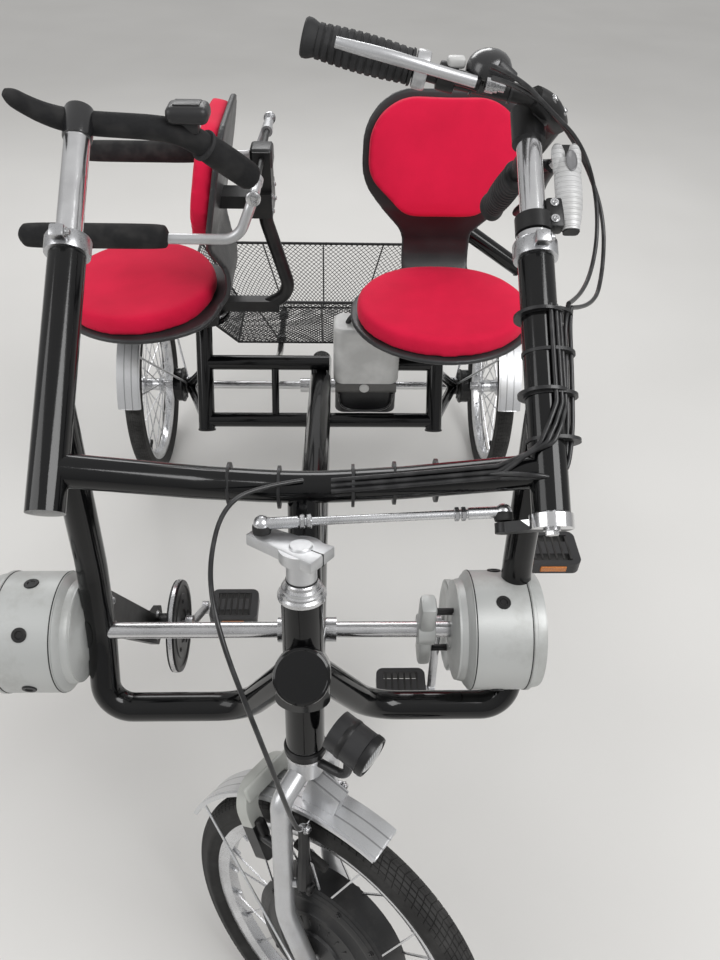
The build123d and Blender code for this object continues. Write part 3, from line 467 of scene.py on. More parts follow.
def around(piece, count, place):
    """Copies of a piece set evenly round the Z axis of a place."""
    return copied(piece, [place @ spin(radians(360 * step / count), "Z") for step in range(count)])


def bolt_model(head_r=5.0, height=5.0):
    """A socket head screw on a washer, its hexagon sunk in the top."""
    head = turned([(head_r + 2, 0), (head_r + 2, 1.2), (head_r, 1.2), (head_r, height - 0.8),
                   (head_r - 0.8, height)], 16)
    bpy.ops.object.mode_set(mode="EDIT")
    bpy.ops.mesh.select_mode(type="FACE")
    bpy.ops.mesh.inset(thickness=head_r * 0.4, depth=0)
    bpy.ops.mesh.extrude_region_move(TRANSFORM_OT_translate={"value": (0, 0, -height * 0.5)})
    bpy.ops.object.mode_set(mode="OBJECT")
    return head


def apply_modifier(piece, kind, **settings):
    """Add a modifier with its settings and apply it."""
    only(piece)
    modifier = piece.modifiers.new(kind.lower(), kind)
    for name, value in settings.items():
        setattr(modifier, name, value)
    bpy.ops.object.modifier_apply(modifier=modifier.name)


def node_copy(name, node):
    """A separate copy of a solid's mesh, with its loose triangles joined."""
    piece = bpy.data.objects.new(name, nodes[node].data.copy())
    bpy.context.scene.collection.objects.link(piece)
    only(piece)
    bpy.ops.object.mode_set(mode="EDIT")
    bpy.ops.mesh.select_all(action="SELECT")
    bpy.ops.mesh.remove_doubles(threshold=0.00002)
    bpy.ops.object.mode_set(mode="OBJECT")
    return piece


# Control cables
# Plastic covered steel cables: two loops from the handlebar's levers to the ties on the
# post, and the front brake's cable from the crossbar down to its arm on the fork.
CABLE_D = 0.0056

# Smooth black plastic with a slight wave and dust in it.
cable_black = grained(
    "cable_cover", (900, 2.0), (60, 4.0), (0.45, 0.8), ((0.010, 0.010, 0.011), (0.045, 0.045, 0.046)),
    (0.3, 0.8, 0.30, 0.48), (0.25, 0.0002), Coat_Weight=0.15)


def smooth_line(points):
    """The points along the smooth line that a cable's route gives."""
    route = bpy.data.curves.new("route", "CURVE")
    route.dimensions = "3D"
    line = route.splines.new("NURBS")
    line.points.add(len(points) - 1)
    for knot, point in zip(line.points, points):
        knot.co = (*at(*point), 1)
    line.order_u = 3
    line.use_endpoint_u = True
    line.resolution_u = 12
    holder = bpy.data.objects.new("route", route)
    mesh = bpy.data.meshes.new_from_object(holder)
    path = [vertex.co.copy() for vertex in mesh.vertices]
    bpy.data.meshes.remove(mesh)
    holder.data = route
    return holder, route, path


def cable(name, points):
    """A round cable along a smooth line through its points, in place of the solid of that name."""
    made, route, path = smooth_line(points)
    made.name = "free_" + name
    bpy.context.scene.collection.objects.link(made)
    route.bevel_depth = CABLE_D / 2
    route.bevel_resolution = 3
    route.use_fill_caps = True
    only(made)
    bpy.ops.object.convert(target="MESH")
    only_finish(made, cable_black)
    bpy.ops.object.shade_smooth()
    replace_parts(made, name)
    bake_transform(made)
    return made


brake_arm = head_point(500, -26, -42)
guide_out = (Vector((-42, 0, 0)) - head_back * 26).normalized()
guide_top = brake_arm + head_way * 34 + guide_out * 30
guide_way = (guide_top - brake_arm).normalized()
guide_end = (fork_turn @ at(*(guide_top + guide_way)) - MIDDLE) * 1000
guide_next = (fork_turn @ at(*(guide_top + guide_way * 39)) - MIDDLE) * 1000
loop_end = post_point(1, 248)
front_brake_route = [
    (0, -1100, 895), (-61, -1122, 903), (-90, -1160, 903), (-97, -1220, 890), (-90, -1270, 881),
    (-75, -1310, 850), (-54, -1345, 803), (-34, -1373, 748), (-21, -1386, 692), (-12, -1390, 638),
    tuple(guide_next), tuple(guide_end)]
loop_a_route = [
    (208, -850, 1286), (249, -820, 1267), (297, -800, 1226), (352, -776, 1180), (384, -784, 1117),
    (386, -826, 1062), (360, -890, 1030), (loop_end.x + 31, loop_end.y - 10, loop_end.z + 14)]
loop_b_route = [
    (214, -846, 1272), (262, -806, 1252), (322, -776, 1205), (372, -758, 1144), (402, -780, 1085),
    (396, -840, 1040), (374, -900, 1016), (loop_end.x + 38, loop_end.y - 2, loop_end.z + 4)]
cable("cable_front_brake", front_brake_route)
cable("cable_loop_a", loop_a_route)
cable("cable_loop_b", loop_b_route)

# Frame
# Welded steel tubes in gloss black powder coat: main frame, crossbar, side loops with the
# handlebar posts, and the rear frame with its stays and seat plates.


def frame_coat():
    """Gloss black powder coat with orange peel, a little dust and tiny flecks."""
    finish = Finish("frame_coat", Coat_Weight=0.3, Coat_Roughness=0.04, Specular_IOR_Level=0.28)
    peel = finish.noise(420, 2.0, 0.4)
    dust = finish.noise(9, 6.0, 0.6)
    fleck = finish.noise(1400, 1.0)
    tone = finish.mix(finish.spread(dust, 0.50, 0.85), (0.0018, 0.0019, 0.0023), (0.006, 0.0058, 0.0055))
    tone = finish.mix(finish.spread(fleck, 0.74, 0.80), tone, (0.04, 0.038, 0.036))
    return finish.feed(
        Base_Color=tone,
        Roughness=finish.spread(dust, 0.35, 0.8, 0.10, 0.22),
        Normal=finish.bump(peel, 0.08, 0.0006))


frame_black = frame_coat()
paint(["crossbar", "main_frame", "side_frame_left", "side_frame_right", "rear_frame"], frame_black)

# Satin black coated fittings with lighter rubbed grain.
black_metal = grained(
    "satin_black_metal", (700, 3.0), (22, 5.0), (0.4, 0.8), ((0.010, 0.010, 0.011), (0.028, 0.027, 0.026)),
    (0.3, 0.7, 0.30, 0.48), (0.22, 0.0004), Metallic=0.3)
bright_steel = plated("bright_steel", (6, 6, 6), (0.66, 0.66, 0.67), 0.24)

# The clamp bolts of the seat plates, two on each side of the swivel.
plate_bolts = []
for swivel in (driver_swivel, passenger_swivel):
    for x, y in ((-40, -34), (40, -34), (-40, 34), (40, 34)):
        plate_bolts.append(shift(swivel + Vector((x, y, 580))) @ spin(pi, "X"))
fit("plate_bolts", copied(bolt_model(4.5, 4), plate_bolts), vehicle, bright_steel, "frame")

# Plastic caps and weld collars: the cap that closes the loop junction in front of the head tube,
# and the plugs in the open ends of the seat tubes.
cap_place = frame_of((0, -1279, 752), (0, -0.66, 0.75), (1, 0, 0))
cap = turned([(33, -52), (34, -50), (34, -3), (33, -0.6), (30.4, 0.8), (29.6, 0.2), (12, 0.9),
              (0.5, 1)], 56)
fit("junction_cap", [cap], cap_place, frame_black, "frame")
foot_plugs = []
for side in (-1, 1):
    plug = turned([(19, -3), (21.5, -2), (21.5, 1.5), (19, 2.5), (8, 3), (0.5, 3)], 32)
    foot_plugs.append(plug)
    plug.data.transform(shift((side * 284, -277.5, 312.5)) @ spin(pi - 0.54, "X"))
fit("seat_tube_plugs", foot_plugs, vehicle, black_metal, "frame")

# Rear axle
# A ground steel shaft through both bearing blocks, with a coupling at its middle, axle nuts
# outside the hubs, and a clamp screw in each bearing block.
shaft_silver = plated("ground_shaft", (1, 14, 14), (0.70, 0.70, 0.71), 0.22)
paint(["rear_axle", "cross_shafts"], shaft_silver)
nut = turned([(15, 0), (17, 1.5), (17, 9), (15, 11), (9, 11.5), (8, 14), (0.5, 14)], 6)
nuts = copied(nut, [shift((side * 509, 0, HUB_HEIGHT)) @ spin(side * pi / 2, "Y") for side in (-1, 1)])
fit("axle_nuts", nuts, vehicle, bright_steel, "frame", 20)
screws = []
for side in (-1, 1):
    for y, z, turn in ((0, 275, 0), (-19, 264, 0.9)):
        screws.append(shift((side * 372, y, z)) @ spin(turn, "X"))
fit("bearing_screws", copied(bolt_model(4.5, 5), screws), vehicle, bright_steel, "frame")

# Brake drum covers: a ribbed black plate with a ring of small bolts on each side's inner face.
for side, name in SIDES:
    cover = turned([(46.8, -2), (47.6, 0), (47.6, 3), (44, 5), (36, 5), (34, 2.5), (28, 2.5), (26, 6)], 40)
    way = shift((side * 391, 0, HUB_HEIGHT)) @ spin(-side * pi / 2, "Y")
    cover.data.transform(way)
    head = bolt_model(3, 3)
    head.data.transform(shift((40, 0, 4)))
    heads = around(head, 6, way)
    fit("brake_cover_" + name, [cover] + heads, vehicle, black_metal, "frame")

# Tyres
# Black vulcanised rubber on 20 inch rims: a round casing with a rib on each side wall and
# rows of small slanted blocks moulded round the tread.

tyre_rubber = rubber("tyre_rubber", (0.017, 0.0165, 0.016), 0.66)
TYRE_MIDDLE = 228.5
TYRE_HALF = 23.5
TREAD = 1.1
TYRE_ROUND = 132
TYRE_RING = 24


def pick_faces(piece, wanted):
    """Select the faces for which a test of their middle is true, and enter edit mode."""
    only(piece)
    bpy.ops.object.mode_set(mode="EDIT")
    bpy.ops.mesh.select_mode(type="FACE")
    bpy.ops.mesh.select_all(action="DESELECT")
    bpy.ops.object.mode_set(mode="OBJECT")
    for face in piece.data.polygons:
        face.select = bool(wanted(face.center))
    bpy.ops.object.mode_set(mode="EDIT")


def tyre_model():
    """A tyre about the Z axis, in millimetres."""
    bpy.ops.object.select_all(action="DESELECT")
    bpy.ops.mesh.primitive_torus_add(
        major_radius=TYRE_MIDDLE, minor_radius=TYRE_HALF - TREAD, major_segments=TYRE_ROUND,
        minor_segments=TYRE_RING)
    piece = bpy.context.object

    def section_angle(point):
        return abs(degrees(atan2(point.z, hypot(point.x, point.y) - TYRE_MIDDLE)))

    for vertex in piece.data.vertices:
        slant = min(section_angle(vertex.co), 70) / 70 * 0.042
        vertex.co = Matrix.Rotation(slant, 3, "Z") @ vertex.co
    pick_faces(piece, lambda middle: section_angle(middle) < 66)
    bpy.ops.mesh.inset(thickness=0.75, depth=0, use_individual=True)
    bpy.ops.transform.shrink_fatten(value=TREAD)
    bpy.ops.object.mode_set(mode="OBJECT")
    pick_faces(piece, lambda middle: 90 < section_angle(middle) < 105)
    bpy.ops.mesh.inset(thickness=0.6, depth=0)
    bpy.ops.transform.shrink_fatten(value=0.7)
    bpy.ops.object.mode_set(mode="OBJECT")
    return piece


front_place = fork_turn @ frame_of(front_hub, (1, 0, 0), (0, 0, 1))
rear_places = [frame_of((side * HALF_TRACK, 0, HUB_HEIGHT), (1, 0, 0), (0, 0, 1)) for side in (-1, 1)]
wheels = (
    ("front", "front_tyre", 24, front_place, "front_wheel"),
    ("left", "rear_tyre_left", 28, rear_places[0], "rear_left"),
    ("right", "rear_tyre_right", 28, rear_places[1], "rear_right"))

# Rims, spokes and valves
# Polished aluminium rims laced with steel spokes, each spoke with its nipple in the rim, and
# a capped valve in each rim. Each wheel's tyre goes on with them.
polished = plated("polished_aluminium", (8, 8, 8), (0.72, 0.725, 0.74), 0.26)
paint(["rear_wheel_left", "rear_wheel_right", "front_rim"], polished)
black_cap = rubber("valve_cap", (0.012, 0.012, 0.012), 0.5)
inward = spin(-pi / 2, "Y")
for (wheel, node, spokes, place, body), tyre in zip(wheels, copied(tyre_model(), [Matrix()] * 3)):
    tread = fit(node + "_tread", [tyre], place, tyre_rubber, body, 50)
    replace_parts(tread, node)
    nipple = turned([(2.2, 0), (2.6, 2), (2.6, 10), (1.8, 13)], 6)
    nipple.data.transform(shift((194, 0, 0)) @ inward)
    fit("nipples_" + wheel, around(nipple, spokes, Matrix()), place, polished, body)
    valve = turned([(4.4, 0), (4.4, 8), (3.4, 10), (3.4, 20), (4.6, 21), (4.6, 31), (3.8, 33),
                    (0.6, 34)], 12)
    valve.data.transform(spin(radians(128), "Z") @ shift((193, 0, 0)) @ inward)
    fit("valve_" + wheel, [valve], place, black_cap, body)

# Hub motor
# Two dark die-cast covers bolted together round the motor, with cooling ribs near the rim,
# a stepped boss for the axle and the nuts that hold it in the fork. The black paint has a
# sanded grain and dull scuffs.
motor_black = grained(
    "cast_black", (900, 3.0, 0.6), (30, 6.0, 0.7), (0.5, 0.85),
    ((0.011, 0.0112, 0.012), (0.04, 0.038, 0.036)),
    (0.3, 0.8, 0.34, 0.56), (0.30, 0.0004), Coat_Weight=0.1, Coat_Roughness=0.3)
paint(["hub_motor"], motor_black)
motor_parts = []
for side in (-1, 1):
    face = spin(0 if side > 0 else pi, "X")
    rings = turned([(112, 20.4), (113, 22.0), (104, 25.6), (98, 26.6), (96, 25.4), (78, 29.2), (76, 31.2),
                    (70, 32.0), (68, 30.8), (44, 33.6), (42, 37.6), (28, 38.6), (14, 38.8), (12, 36)], 64)
    rings.data.transform(face)
    motor_parts.append(rings)
    head = bolt_model(3.4, 3.2)
    head.data.transform(shift((104.5, 0, 23.4)))
    motor_parts += around(head, 10, face)
    motor_parts += around(blocked((50, -1.1, 29.8), (66, 1.1, 32.4), 0.6, 1), 24, face)
fit("motor_covers", motor_parts, front_place, motor_black, "front_wheel")
fork_nuts = []
for side in (-1, 1):
    fork_nuts.append(spin(0 if side > 0 else pi, "X") @ shift((0, 0, 69)))
nut = turned([(11, 0), (11, 1.5), (9.5, 1.5), (9.5, 8), (8, 9.5), (5.4, 9.5), (5.4, 13), (0.5, 13.4)], 6)
fit("fork_nuts", copied(nut, fork_nuts), front_place, bright_steel, "front_steering", 20)

# Mudguards
# Rolled aluminium in silver, with two thin dark lines along the crown, turned-down edges,
# and wire stays.
LINE_OUT = 0.0088
LINE_HALF = 0.0012


def guard_paint(name, origin, across):
    """Silver flake with two dark lines that run beside the middle of the band."""
    finish = Finish(name, Coat_Weight=0.4, Coat_Roughness=0.12, Metallic=0.7)
    flake = finish.noise(2600, 1.0)
    cloud = finish.noise(12, 5.0)
    moved = finish.start.node("VectorMath", {"operation": "SUBTRACT"}, {0: finish.place, 1: tuple(origin)})
    aside = abs(finish.start.node("VectorMath", {"operation": "DOT_PRODUCT"},
                                  {0: moved, 1: tuple(across)}, output=1))
    line = abs(aside - LINE_OUT) < LINE_HALF
    tone = finish.mix(finish.spread(flake, 0.42, 0.6), (0.56, 0.565, 0.575), (0.72, 0.725, 0.74))
    tone = finish.mix(finish.spread(cloud, 0.55, 0.9), tone, (0.44, 0.43, 0.41))
    tone = finish.mix(line * 0.55, tone, (0.10, 0.10, 0.105))
    return finish.feed(
        Base_Color=tone,
        Roughness=finish.spread(cloud, 0.3, 0.8, 0.28, 0.42),
        Normal=finish.bump(line * -1, 0.6, 0.0006))


for side, name in SIDES:
    hub = at(side * HALF_TRACK, 0, HUB_HEIGHT)
    paint(["rear_fender_" + name], guard_paint("guard_" + name, hub, (1, 0, 0)))
steered_across = (fork_turn.to_3x3() @ Vector((1, 0, 0))).normalized()
paint(["front_fender"], guard_paint("guard_front", fork_turn @ at(*front_hub), steered_across))


def guard_end(name, angle, place, material, body):
    """The rolled lip that closes a mudguard's end."""
    lip = drawn([(-26, 0, -4), (-22, 0, 0), (0, 0, 0.6), (22, 0, 0), (26, 0, -4)], 1.7, 2)
    lip.data.transform(spin(radians(angle), "X") @ shift((0, 271, 0)) @ spin(-pi / 2, "X"))
    fit(name, [lip], place, material, body)


def upright_hub(side):
    """A rear hub's place, with X across the vehicle and Z up."""
    return frame_of((side * HALF_TRACK, 0, HUB_HEIGHT), (0, 0, 1), (1, 0, 0))


fork_hub_place = fork_turn @ frame_of(front_hub, (0, 0, 1), (1, 0, 0))
for name, angle in (("front_guard_lip", 92), ("front_guard_tail", 12)):
    guard_end(name, angle, fork_hub_place, nodes["front_fender"].material_slots[0].material,
              "front_steering")
for side, name in SIDES:
    hub_place = upright_hub(side)
    for end, angle in (("rear", 14), ("front", 158)):
        guard_end("guard_lip_%s_%s" % (name, end), angle, hub_place,
                  nodes["rear_fender_" + name].material_slots[0].material, "frame")


def lens_plastic(name, tone, painted_glint):
    """Clear coloured reflector plastic with a prism grid under the surface, and painted glints: a lighter
    tone laid in the grid.
    """
    finish = Finish(name, Coat_Weight=0.7, Coat_Roughness=0.05)
    x, y, z = finish.split()
    grid = finish.start.maths("SINE", (x + y) * 2600) * finish.start.maths("SINE", (z + y * 0.6) * 2600)
    # Painted glint: the lighter tone follows the prism grid.
    shade = finish.mix(finish.spread(grid, -0.6, 0.8), tone, painted_glint)
    return finish.feed(Base_Color=shade, Roughness=finish.spread(grid, -1, 1, 0.12, 0.3),
                       Normal=finish.bump(grid, 0.5, 0.0006))


# The second tone of each lens is its painted glint colour.
amber_lens = lens_plastic("amber_lens", (0.42, 0.10, 0.01), (0.85, 0.30, 0.04))
red_lens = lens_plastic("red_lens", (0.30, 0.006, 0.006), (0.75, 0.03, 0.02))

# A red reflector in a black holder on the tail of each rear mudguard.
for side, name in SIDES:
    tail = upright_hub(side) @ spin(radians(21), "X") @ shift((0, 272, 0)) @ spin(-pi / 2, "X")
    holder = blocked((-17, -30, 0), (17, 10, 6), 2.4)
    fit("reflector_holder_" + name, [holder], tail, black_metal, "frame")
    lens = blocked((-13, -26, 5), (13, 6, 9), 2)
    fit("reflector_lens_" + name, [lens], tail, red_lens, "frame")

# Pedal brackets and disc guards
# Laser cut steel plates welded to bottom bracket shells, with satin black coat. The left one
# carries a pressed disc guard, the right one a light grey cover over its chain wheel.
paint(["bracket_left", "bracket_right"], black_metal)
along_x = spin(pi / 2, "Y")


def on_drive(x, y=CRANK_AXLE[0], z=CRANK_AXLE[1]):
    """The place of a round piece whose axis lies across the vehicle."""
    return shift((x, y, z)) @ along_x


lugs = []
for side in (-1, 1):
    for y, z in ((-1094, 660), (-1112, 630), (-966, 400), (-940, 428)):
        for face in (-1, 1):
            lugs.append(on_drive(side * POST_X + face * 7, y, z) @ spin(0 if face > 0 else pi, "X"))
fit("bracket_bolts", copied(bolt_model(5, 4.5), lugs), vehicle, bright_steel, "frame")
DISC_X = 237
guard = [turned([(79, 0), (81, 1.5), (80, 3.2), (72, 3.6), (70, 1.4), (58, 1.4),
                 (56, 3.4), (30, 3.4), (28, 1)], 72)]
guard[0].data.transform(on_drive(-DISC_X))
head = bolt_model(4, 3)
head.data.transform(shift((44, 0, 2)))
guard += around(head, 5, on_drive(-DISC_X))
fit("disc_guard_face", guard, vehicle, black_metal, "frame")
edge = turned([(81.6, -7), (82.4, -6), (82.4, -1), (81.6, 0)], 72)
fit("disc_guard_edge", [edge], vehicle @ on_drive(-DISC_X), bright_steel, "frame")

# Light grey coated castings with a fine sand grain and faint dirt.
cast_grey = grained(
    "cast_grey_coat", (1100, 3.0, 0.6), (14, 6.0, 0.65), (0.5, 0.85),
    ((0.50, 0.51, 0.50), (0.34, 0.34, 0.32)),
    (0.3, 0.8, 0.36, 0.55), (0.28, 0.0004), Metallic=0.25, Coat_Weight=0.12, Coat_Roughness=0.3)
paint(["chain_cover"], cast_grey)
cover = turned([(76, 0), (77, 1), (72, 2.6), (60, 2.8), (58, 1.6), (26, 1.6), (24, 4), (17, 4.4)], 64)
fit("chain_cover_face", [cover], vehicle @ on_drive(DISC_X) @ spin(pi, "X"),
    cast_grey, "frame")

# Transmission drums
# Two light grey die-cast housings. Each has a stepped face, a seam where its halves meet,
# black socket screws round its side and a raised boss where the cross shaft comes out.
paint(["drum_left", "drum_right"], cast_grey)
# Dark rubber for the drums' seams where their halves meet, and painted shade in the headset's gap and the
# lever's slit.
seam_and_gap_shade = rubber("seam_and_gap_shade", (0.02, 0.02, 0.02), 0.7)
for name, inner, way in (("left", -302, -1), ("right", 201, 1)):
    side_place = on_drive(inner, *CROSS_SHAFT) @ spin(0 if way > 0 else pi, "X")
    face = turned([(72, 17.5), (79, 18.5), (79.5, 17.6), (76, 14), (70, 10.5),
                   (69, 4), (66, -0.5), (60, -2.2), (44, -2.6), (40, -5), (24, -5.6), (22, -4)], 72)
    lip = turned([(81.2, 93), (82.0, 94), (82.0, 97.6), (80, 98.6), (78.6, 104), (77.6, 109.5),
                  (74, 111.6), (60, 112.4), (40, 112.4), (38, 116), (20, 116.6), (18, 114)], 72)
    fit("drum_face_" + name, [face, lip], vehicle @ side_place, cast_grey, "frame")
    seams = [turned([(81.1, low), (81.5, low + 0.2), (81.5, high - 0.2), (81.1, high)], 72)
             for low, high in ((19.2, 20.8), (91.2, 92.6))]
    fit("drum_seams_" + name, seams, vehicle @ side_place, seam_and_gap_shade, "frame")
    plug = turned([(9.5, -1), (9.5, 0.8), (8.6, 1.6), (5.4, 1.6), (4.4, 0.2), (0.5, 0.1)], 24)
    plugs = copied(plug, [
        side_place @ shift((0, 0, 56)) @ spin(radians(angle), "Z") @ shift((81, 0, 0)) @ along_x
        for angle in (140, 192, 78, 300, 0)])
    fit("drum_plugs_" + name, plugs, vehicle, black_metal, "frame", 30)

# The clamp casting beside the right drum, held to it by two studs.
clamp = [blocked((152, -1156, 664), (174, -1124, 712), 6),
         blocked((154, -1158, 592), (172, -1122, 642), 5),
         turned([(20, -12), (21, -11), (21, 11), (20, 12)], 40)]
clamp[2].data.transform(on_drive(163, *CROSS_SHAFT))
fit("shaft_clamp", clamp, vehicle, cast_grey, "frame")
studs = [blocked((172, -1144, low), (203, -1136, low + 8), 2) for low in (688, 606)]
fit("shaft_clamp_studs", studs, vehicle, black_metal, "frame")

# Cranks and pedals
# Forged aluminium crank arms on square spindles. The pedals are resin bodies with raised tread
# ribs and an amber reflector on both long sides.
crank_silver = plated("crank_silver", (8, 8, 8), (0.62, 0.625, 0.64), 0.28)
paint(["cranks_left", "cranks_right"], crank_silver)

black_plastic = moulded("black_plastic", (0.013, 0.013, 0.014), 0.42, 0.1)
pedal_nodes = ["pedal_left_inner", "pedal_left_outer", "pedal_right_inner", "pedal_right_outer"]
paint(pedal_nodes, black_plastic)
for node in pedal_nodes:
    low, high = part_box(node)
    middle = (low + high) / 2
    body = node.split("_")[1] + "_" + node.split("_")[2] + "_pedal"
    size = (high - low) * 1000
    place = shift(middle) @ Matrix.Scale(0.001, 4)
    half = size / 2
    ribs = [blocked((-half.x + 16 + step * 12, -half.y + 12, half.z - 1.5),
                    (-half.x + 20 + step * 12, half.y - 12, half.z + 1.2), 0.8, 1) for step in range(6)]
    fit(node + "_tread", ribs, place, tyre_rubber, body)
    lenses = [blocked((-22, face * half.y - 1.6, -6), (22, face * half.y + 1.6, 6), 1.2, 1)
              for face in (-1, 1)]
    fit(node + "_reflectors", lenses, place, amber_lens, body)

# Fork
# Brazed steel fork in silver paint, with its crown race and the black lower headset cup.


def flake_paint():
    """Silver paint with metal flake under a clear coat."""
    finish = Finish("silver_flake", Coat_Weight=0.4, Coat_Roughness=0.12, Metallic=0.75)
    flake = finish.noise(2600, 1.0)
    cloud = finish.noise(12, 5.0)
    tone = finish.mix(finish.spread(flake, 0.42, 0.6), (0.50, 0.505, 0.515), (0.66, 0.665, 0.68))
    tone = finish.mix(finish.spread(cloud, 0.55, 0.9), tone, (0.40, 0.39, 0.37))
    return finish.feed(
        Base_Color=tone,
        Roughness=finish.spread(cloud, 0.3, 0.8, 0.30, 0.46),
        Normal=finish.bump(finish.noise(500, 2.0), 0.06, 0.0004))


silver_paint = flake_paint()
paint(["fork"], silver_paint)


def on_head(z):
    """The place of a round piece on the steering axis at a height, turned with the fork."""
    return fork_turn @ frame_of(head_point(z), head_way, (1, 0, 0))


cup = turned([(24, 0), (27.5, 1), (28, 9), (26, 12), (22, 12.5)], 48)
fit("lower_headset", [cup], on_head(583), black_metal, "front_steering")
race = turned([(25, -2), (26.4, -1), (26.4, 2.4), (25, 3)], 48)
fit("crown_race", [race], on_head(579), bright_steel, "front_steering")

# Rim brake
# Two forged black arms on the fork's studs with rubber shoes, joined over the tyre by the
# bare inner cable that comes out of a bent silver guide tube.
brake = []
shoes = []
steered_mm = fork_turn @ vehicle
stud_turn = spin(pi / 2 - 0.28, "X")
for side in (-1, 1):
    foot = head_point(392, -22, side * 42)
    top = head_point(500, -26, side * 42)
    bulge = foot.lerp(top, 0.35) - head_back * 4 + Vector((side * 3, 0, 0))
    bends = [foot - head_back * 3, bulge, foot.lerp(top, 0.7) - head_back * 3, top]
    brake.append(drawn(bends, [11, 9, 7.5, 6.8], 3))
    boss = turned([(8, 0), (9, 1), (9, 5), (6, 6), (5.4, 3)], 20)
    boss.data.transform(shift(foot - head_back * 12) @ stud_turn)
    brake.append(boss)
    shoe = blocked((-5, -30, -6), (5, 26, 6), 2.4)
    shoe.data.transform(shift(head_point(430, -23, side * 25)))
    shoes.append(shoe)
fit("brake_arms", brake, steered_mm, black_metal, "front_steering")
fit("brake_shoes", shoes, steered_mm, tyre_rubber, "front_steering")
tops = [head_point(500, -27, side * 42) for side in (-1, 1)]
pipe = [tops[0], tops[0] + (guide_top - brake_arm) * 0.4, tops[0] + (guide_top - brake_arm) * 0.8,
        guide_top + guide_way * 2]
wire = [tops[0] + Vector((0, 0, -3)), tops[0].lerp(tops[1], 0.5) + head_back * 2,
        tops[1] + Vector((4, 0, 2))]
bright = [drawn(pipe, [3.8, 3.7, 3.7, 4.2], 3), drawn(wire, 1.2, 2)]
for top in tops:
    head = bolt_model(5, 5)
    head.data.transform(shift(top - head_back * 5) @ stud_turn)
    bright.append(head)
fit("brake_cable_guide", bright, steered_mm, bright_steel, "front_steering")

# Head lamp
# A black plastic housing on a wire arm, with a bezel round a clear fluted lens.
paint(["head_lamp"], black_plastic)


def clear_lens():
    """Pale clear plastic with upright flutes, and painted highlights and painted shade in stripes along
    them.
    """
    finish = Finish("clear_lens", Coat_Weight=0.9, Coat_Roughness=0.03, Metallic=0.35)
    x, y = finish.split()[:2]
    flutes = finish.start.maths("SINE", (x + y * 0.4) * 1900)
    # Painted highlight and painted shade: the colour runs from dark to pale across each flute.
    shade = finish.mix(finish.spread(flutes, -0.8, 0.8), (0.10, 0.105, 0.11), (0.42, 0.44, 0.46))
    return finish.feed(Base_Color=shade, Roughness=finish.spread(flutes, -1, 1, 0.08, 0.2),
                       Normal=finish.bump(flutes, 0.4, 0.0008))


lamp_back = head_point(640, -48)
lamp_place = fork_turn @ frame_of(lamp_back + Vector((0, -56, 0)), (0, -1, 0), (1, 0, 0))
bezel = turned([(26.4, -9), (27.2, -8), (27.2, -1), (26.0, 1.6), (23.5, 2.2), (22.8, -1)], 48)
hood = turned([(26.3, -40), (26.9, -38), (26.9, -34), (26.3, -32)], 48)
fit("lamp_bezel", [bezel, hood], lamp_place, black_metal, "front_steering")
lens = turned([(22.6, -1), (22.4, 0.4), (18, 2.4), (11, 3.8), (4, 4.4), (0.4, 4.5)], 40)
fit("lamp_lens", [lens], lamp_place, clear_lens(), "front_steering")

# Ring lock
# A hardened ring under a moulded cover, pale grey over the arch and black on the two legs. A key
# in the silver cylinder at its right closes it, and a sliding knob sits in its slot at the left.
LOCK_ANGLE = radians(50)
LOCK_ARCH = 0.243
lock_way = Vector((0, cos(LOCK_ANGLE), sin(LOCK_ANGLE)))
lock_up = Vector((0, -sin(LOCK_ANGLE), cos(LOCK_ANGLE)))


def on_lock(across, out, lift):
    """The place of a piece on the lock's ring."""
    point = front_hub + Vector((across, 0, 0)) + lock_way * out + lock_up * lift
    return fork_turn @ frame_of(point, lock_up, (1, 0, 0))


def lock_cover():
    """Pale grey plastic over the arch and black plastic on the legs, with a fine grain."""
    finish = Finish("lock_cover", Coat_Weight=0.15, Coat_Roughness=0.2)
    moved = finish.start.node("VectorMath", {"operation": "SUBTRACT"},
                              {0: finish.place, 1: tuple(fork_turn @ at(*front_hub))})
    way = tuple((fork_turn.to_3x3() @ lock_way).normalized())
    reach = finish.start.node("VectorMath", {"operation": "DOT_PRODUCT"}, {0: moved, 1: way}, output=1)
    cloud = finish.noise(20, 4.0)
    pale = finish.mix(finish.spread(cloud, 0.4, 0.8), (0.50, 0.51, 0.48), (0.40, 0.41, 0.38))
    return finish.feed(
        Base_Color=finish.mix(reach > LOCK_ARCH, (0.013, 0.013, 0.014), pale),
        Roughness=finish.spread(cloud, 0.3, 0.8, 0.30, 0.44),
        Normal=finish.bump(finish.noise(1300, 3.0), 0.25, 0.0004))


lock_plastic = lock_cover()
paint(["ring_lock"], lock_plastic)
shield = blocked((-50, -11, 0), (50, 11, 6), 4.5, 3)
fit("lock_shield", [shield], on_lock(0, 287, 9), lock_plastic, "front_steering")
barrel = turned([(11, 0), (12, 1), (12, 12), (11, 13.4), (7, 13.4), (6.6, 12), (0.5, 12)], 32)
fit("lock_barrel", [barrel], on_lock(46, 250, 9), bright_steel, "front_steering")
knob = blocked((-7, -14, 0), (7, 14, 12), 4, 3)
fit("lock_knob", [knob], on_lock(-47, 236, 9), black_metal, "front_steering")

# Headset and steering lever
# Stepped steel bearing cups under a machined aluminium lever. The lever is slit, pinched on the
# steerer by two socket screws, and carries the tie rod's ball joint at its narrow end.
machined = plated("machined_aluminium", (3, 3, 3), (0.70, 0.705, 0.715), 0.44)
paint(["steering_lever"], machined)
cups = [turned([(25, -2), (28.6, -1), (29, 1), (29, 4), (26.4, 6.5), (26, 9),
                (23.4, 11), (23, 14), (20, 16.4), (19.6, 20), (18.4, 21.4)], 56)]
fit("upper_headset", cups, on_head(813), bright_steel, "front_steering", 25)
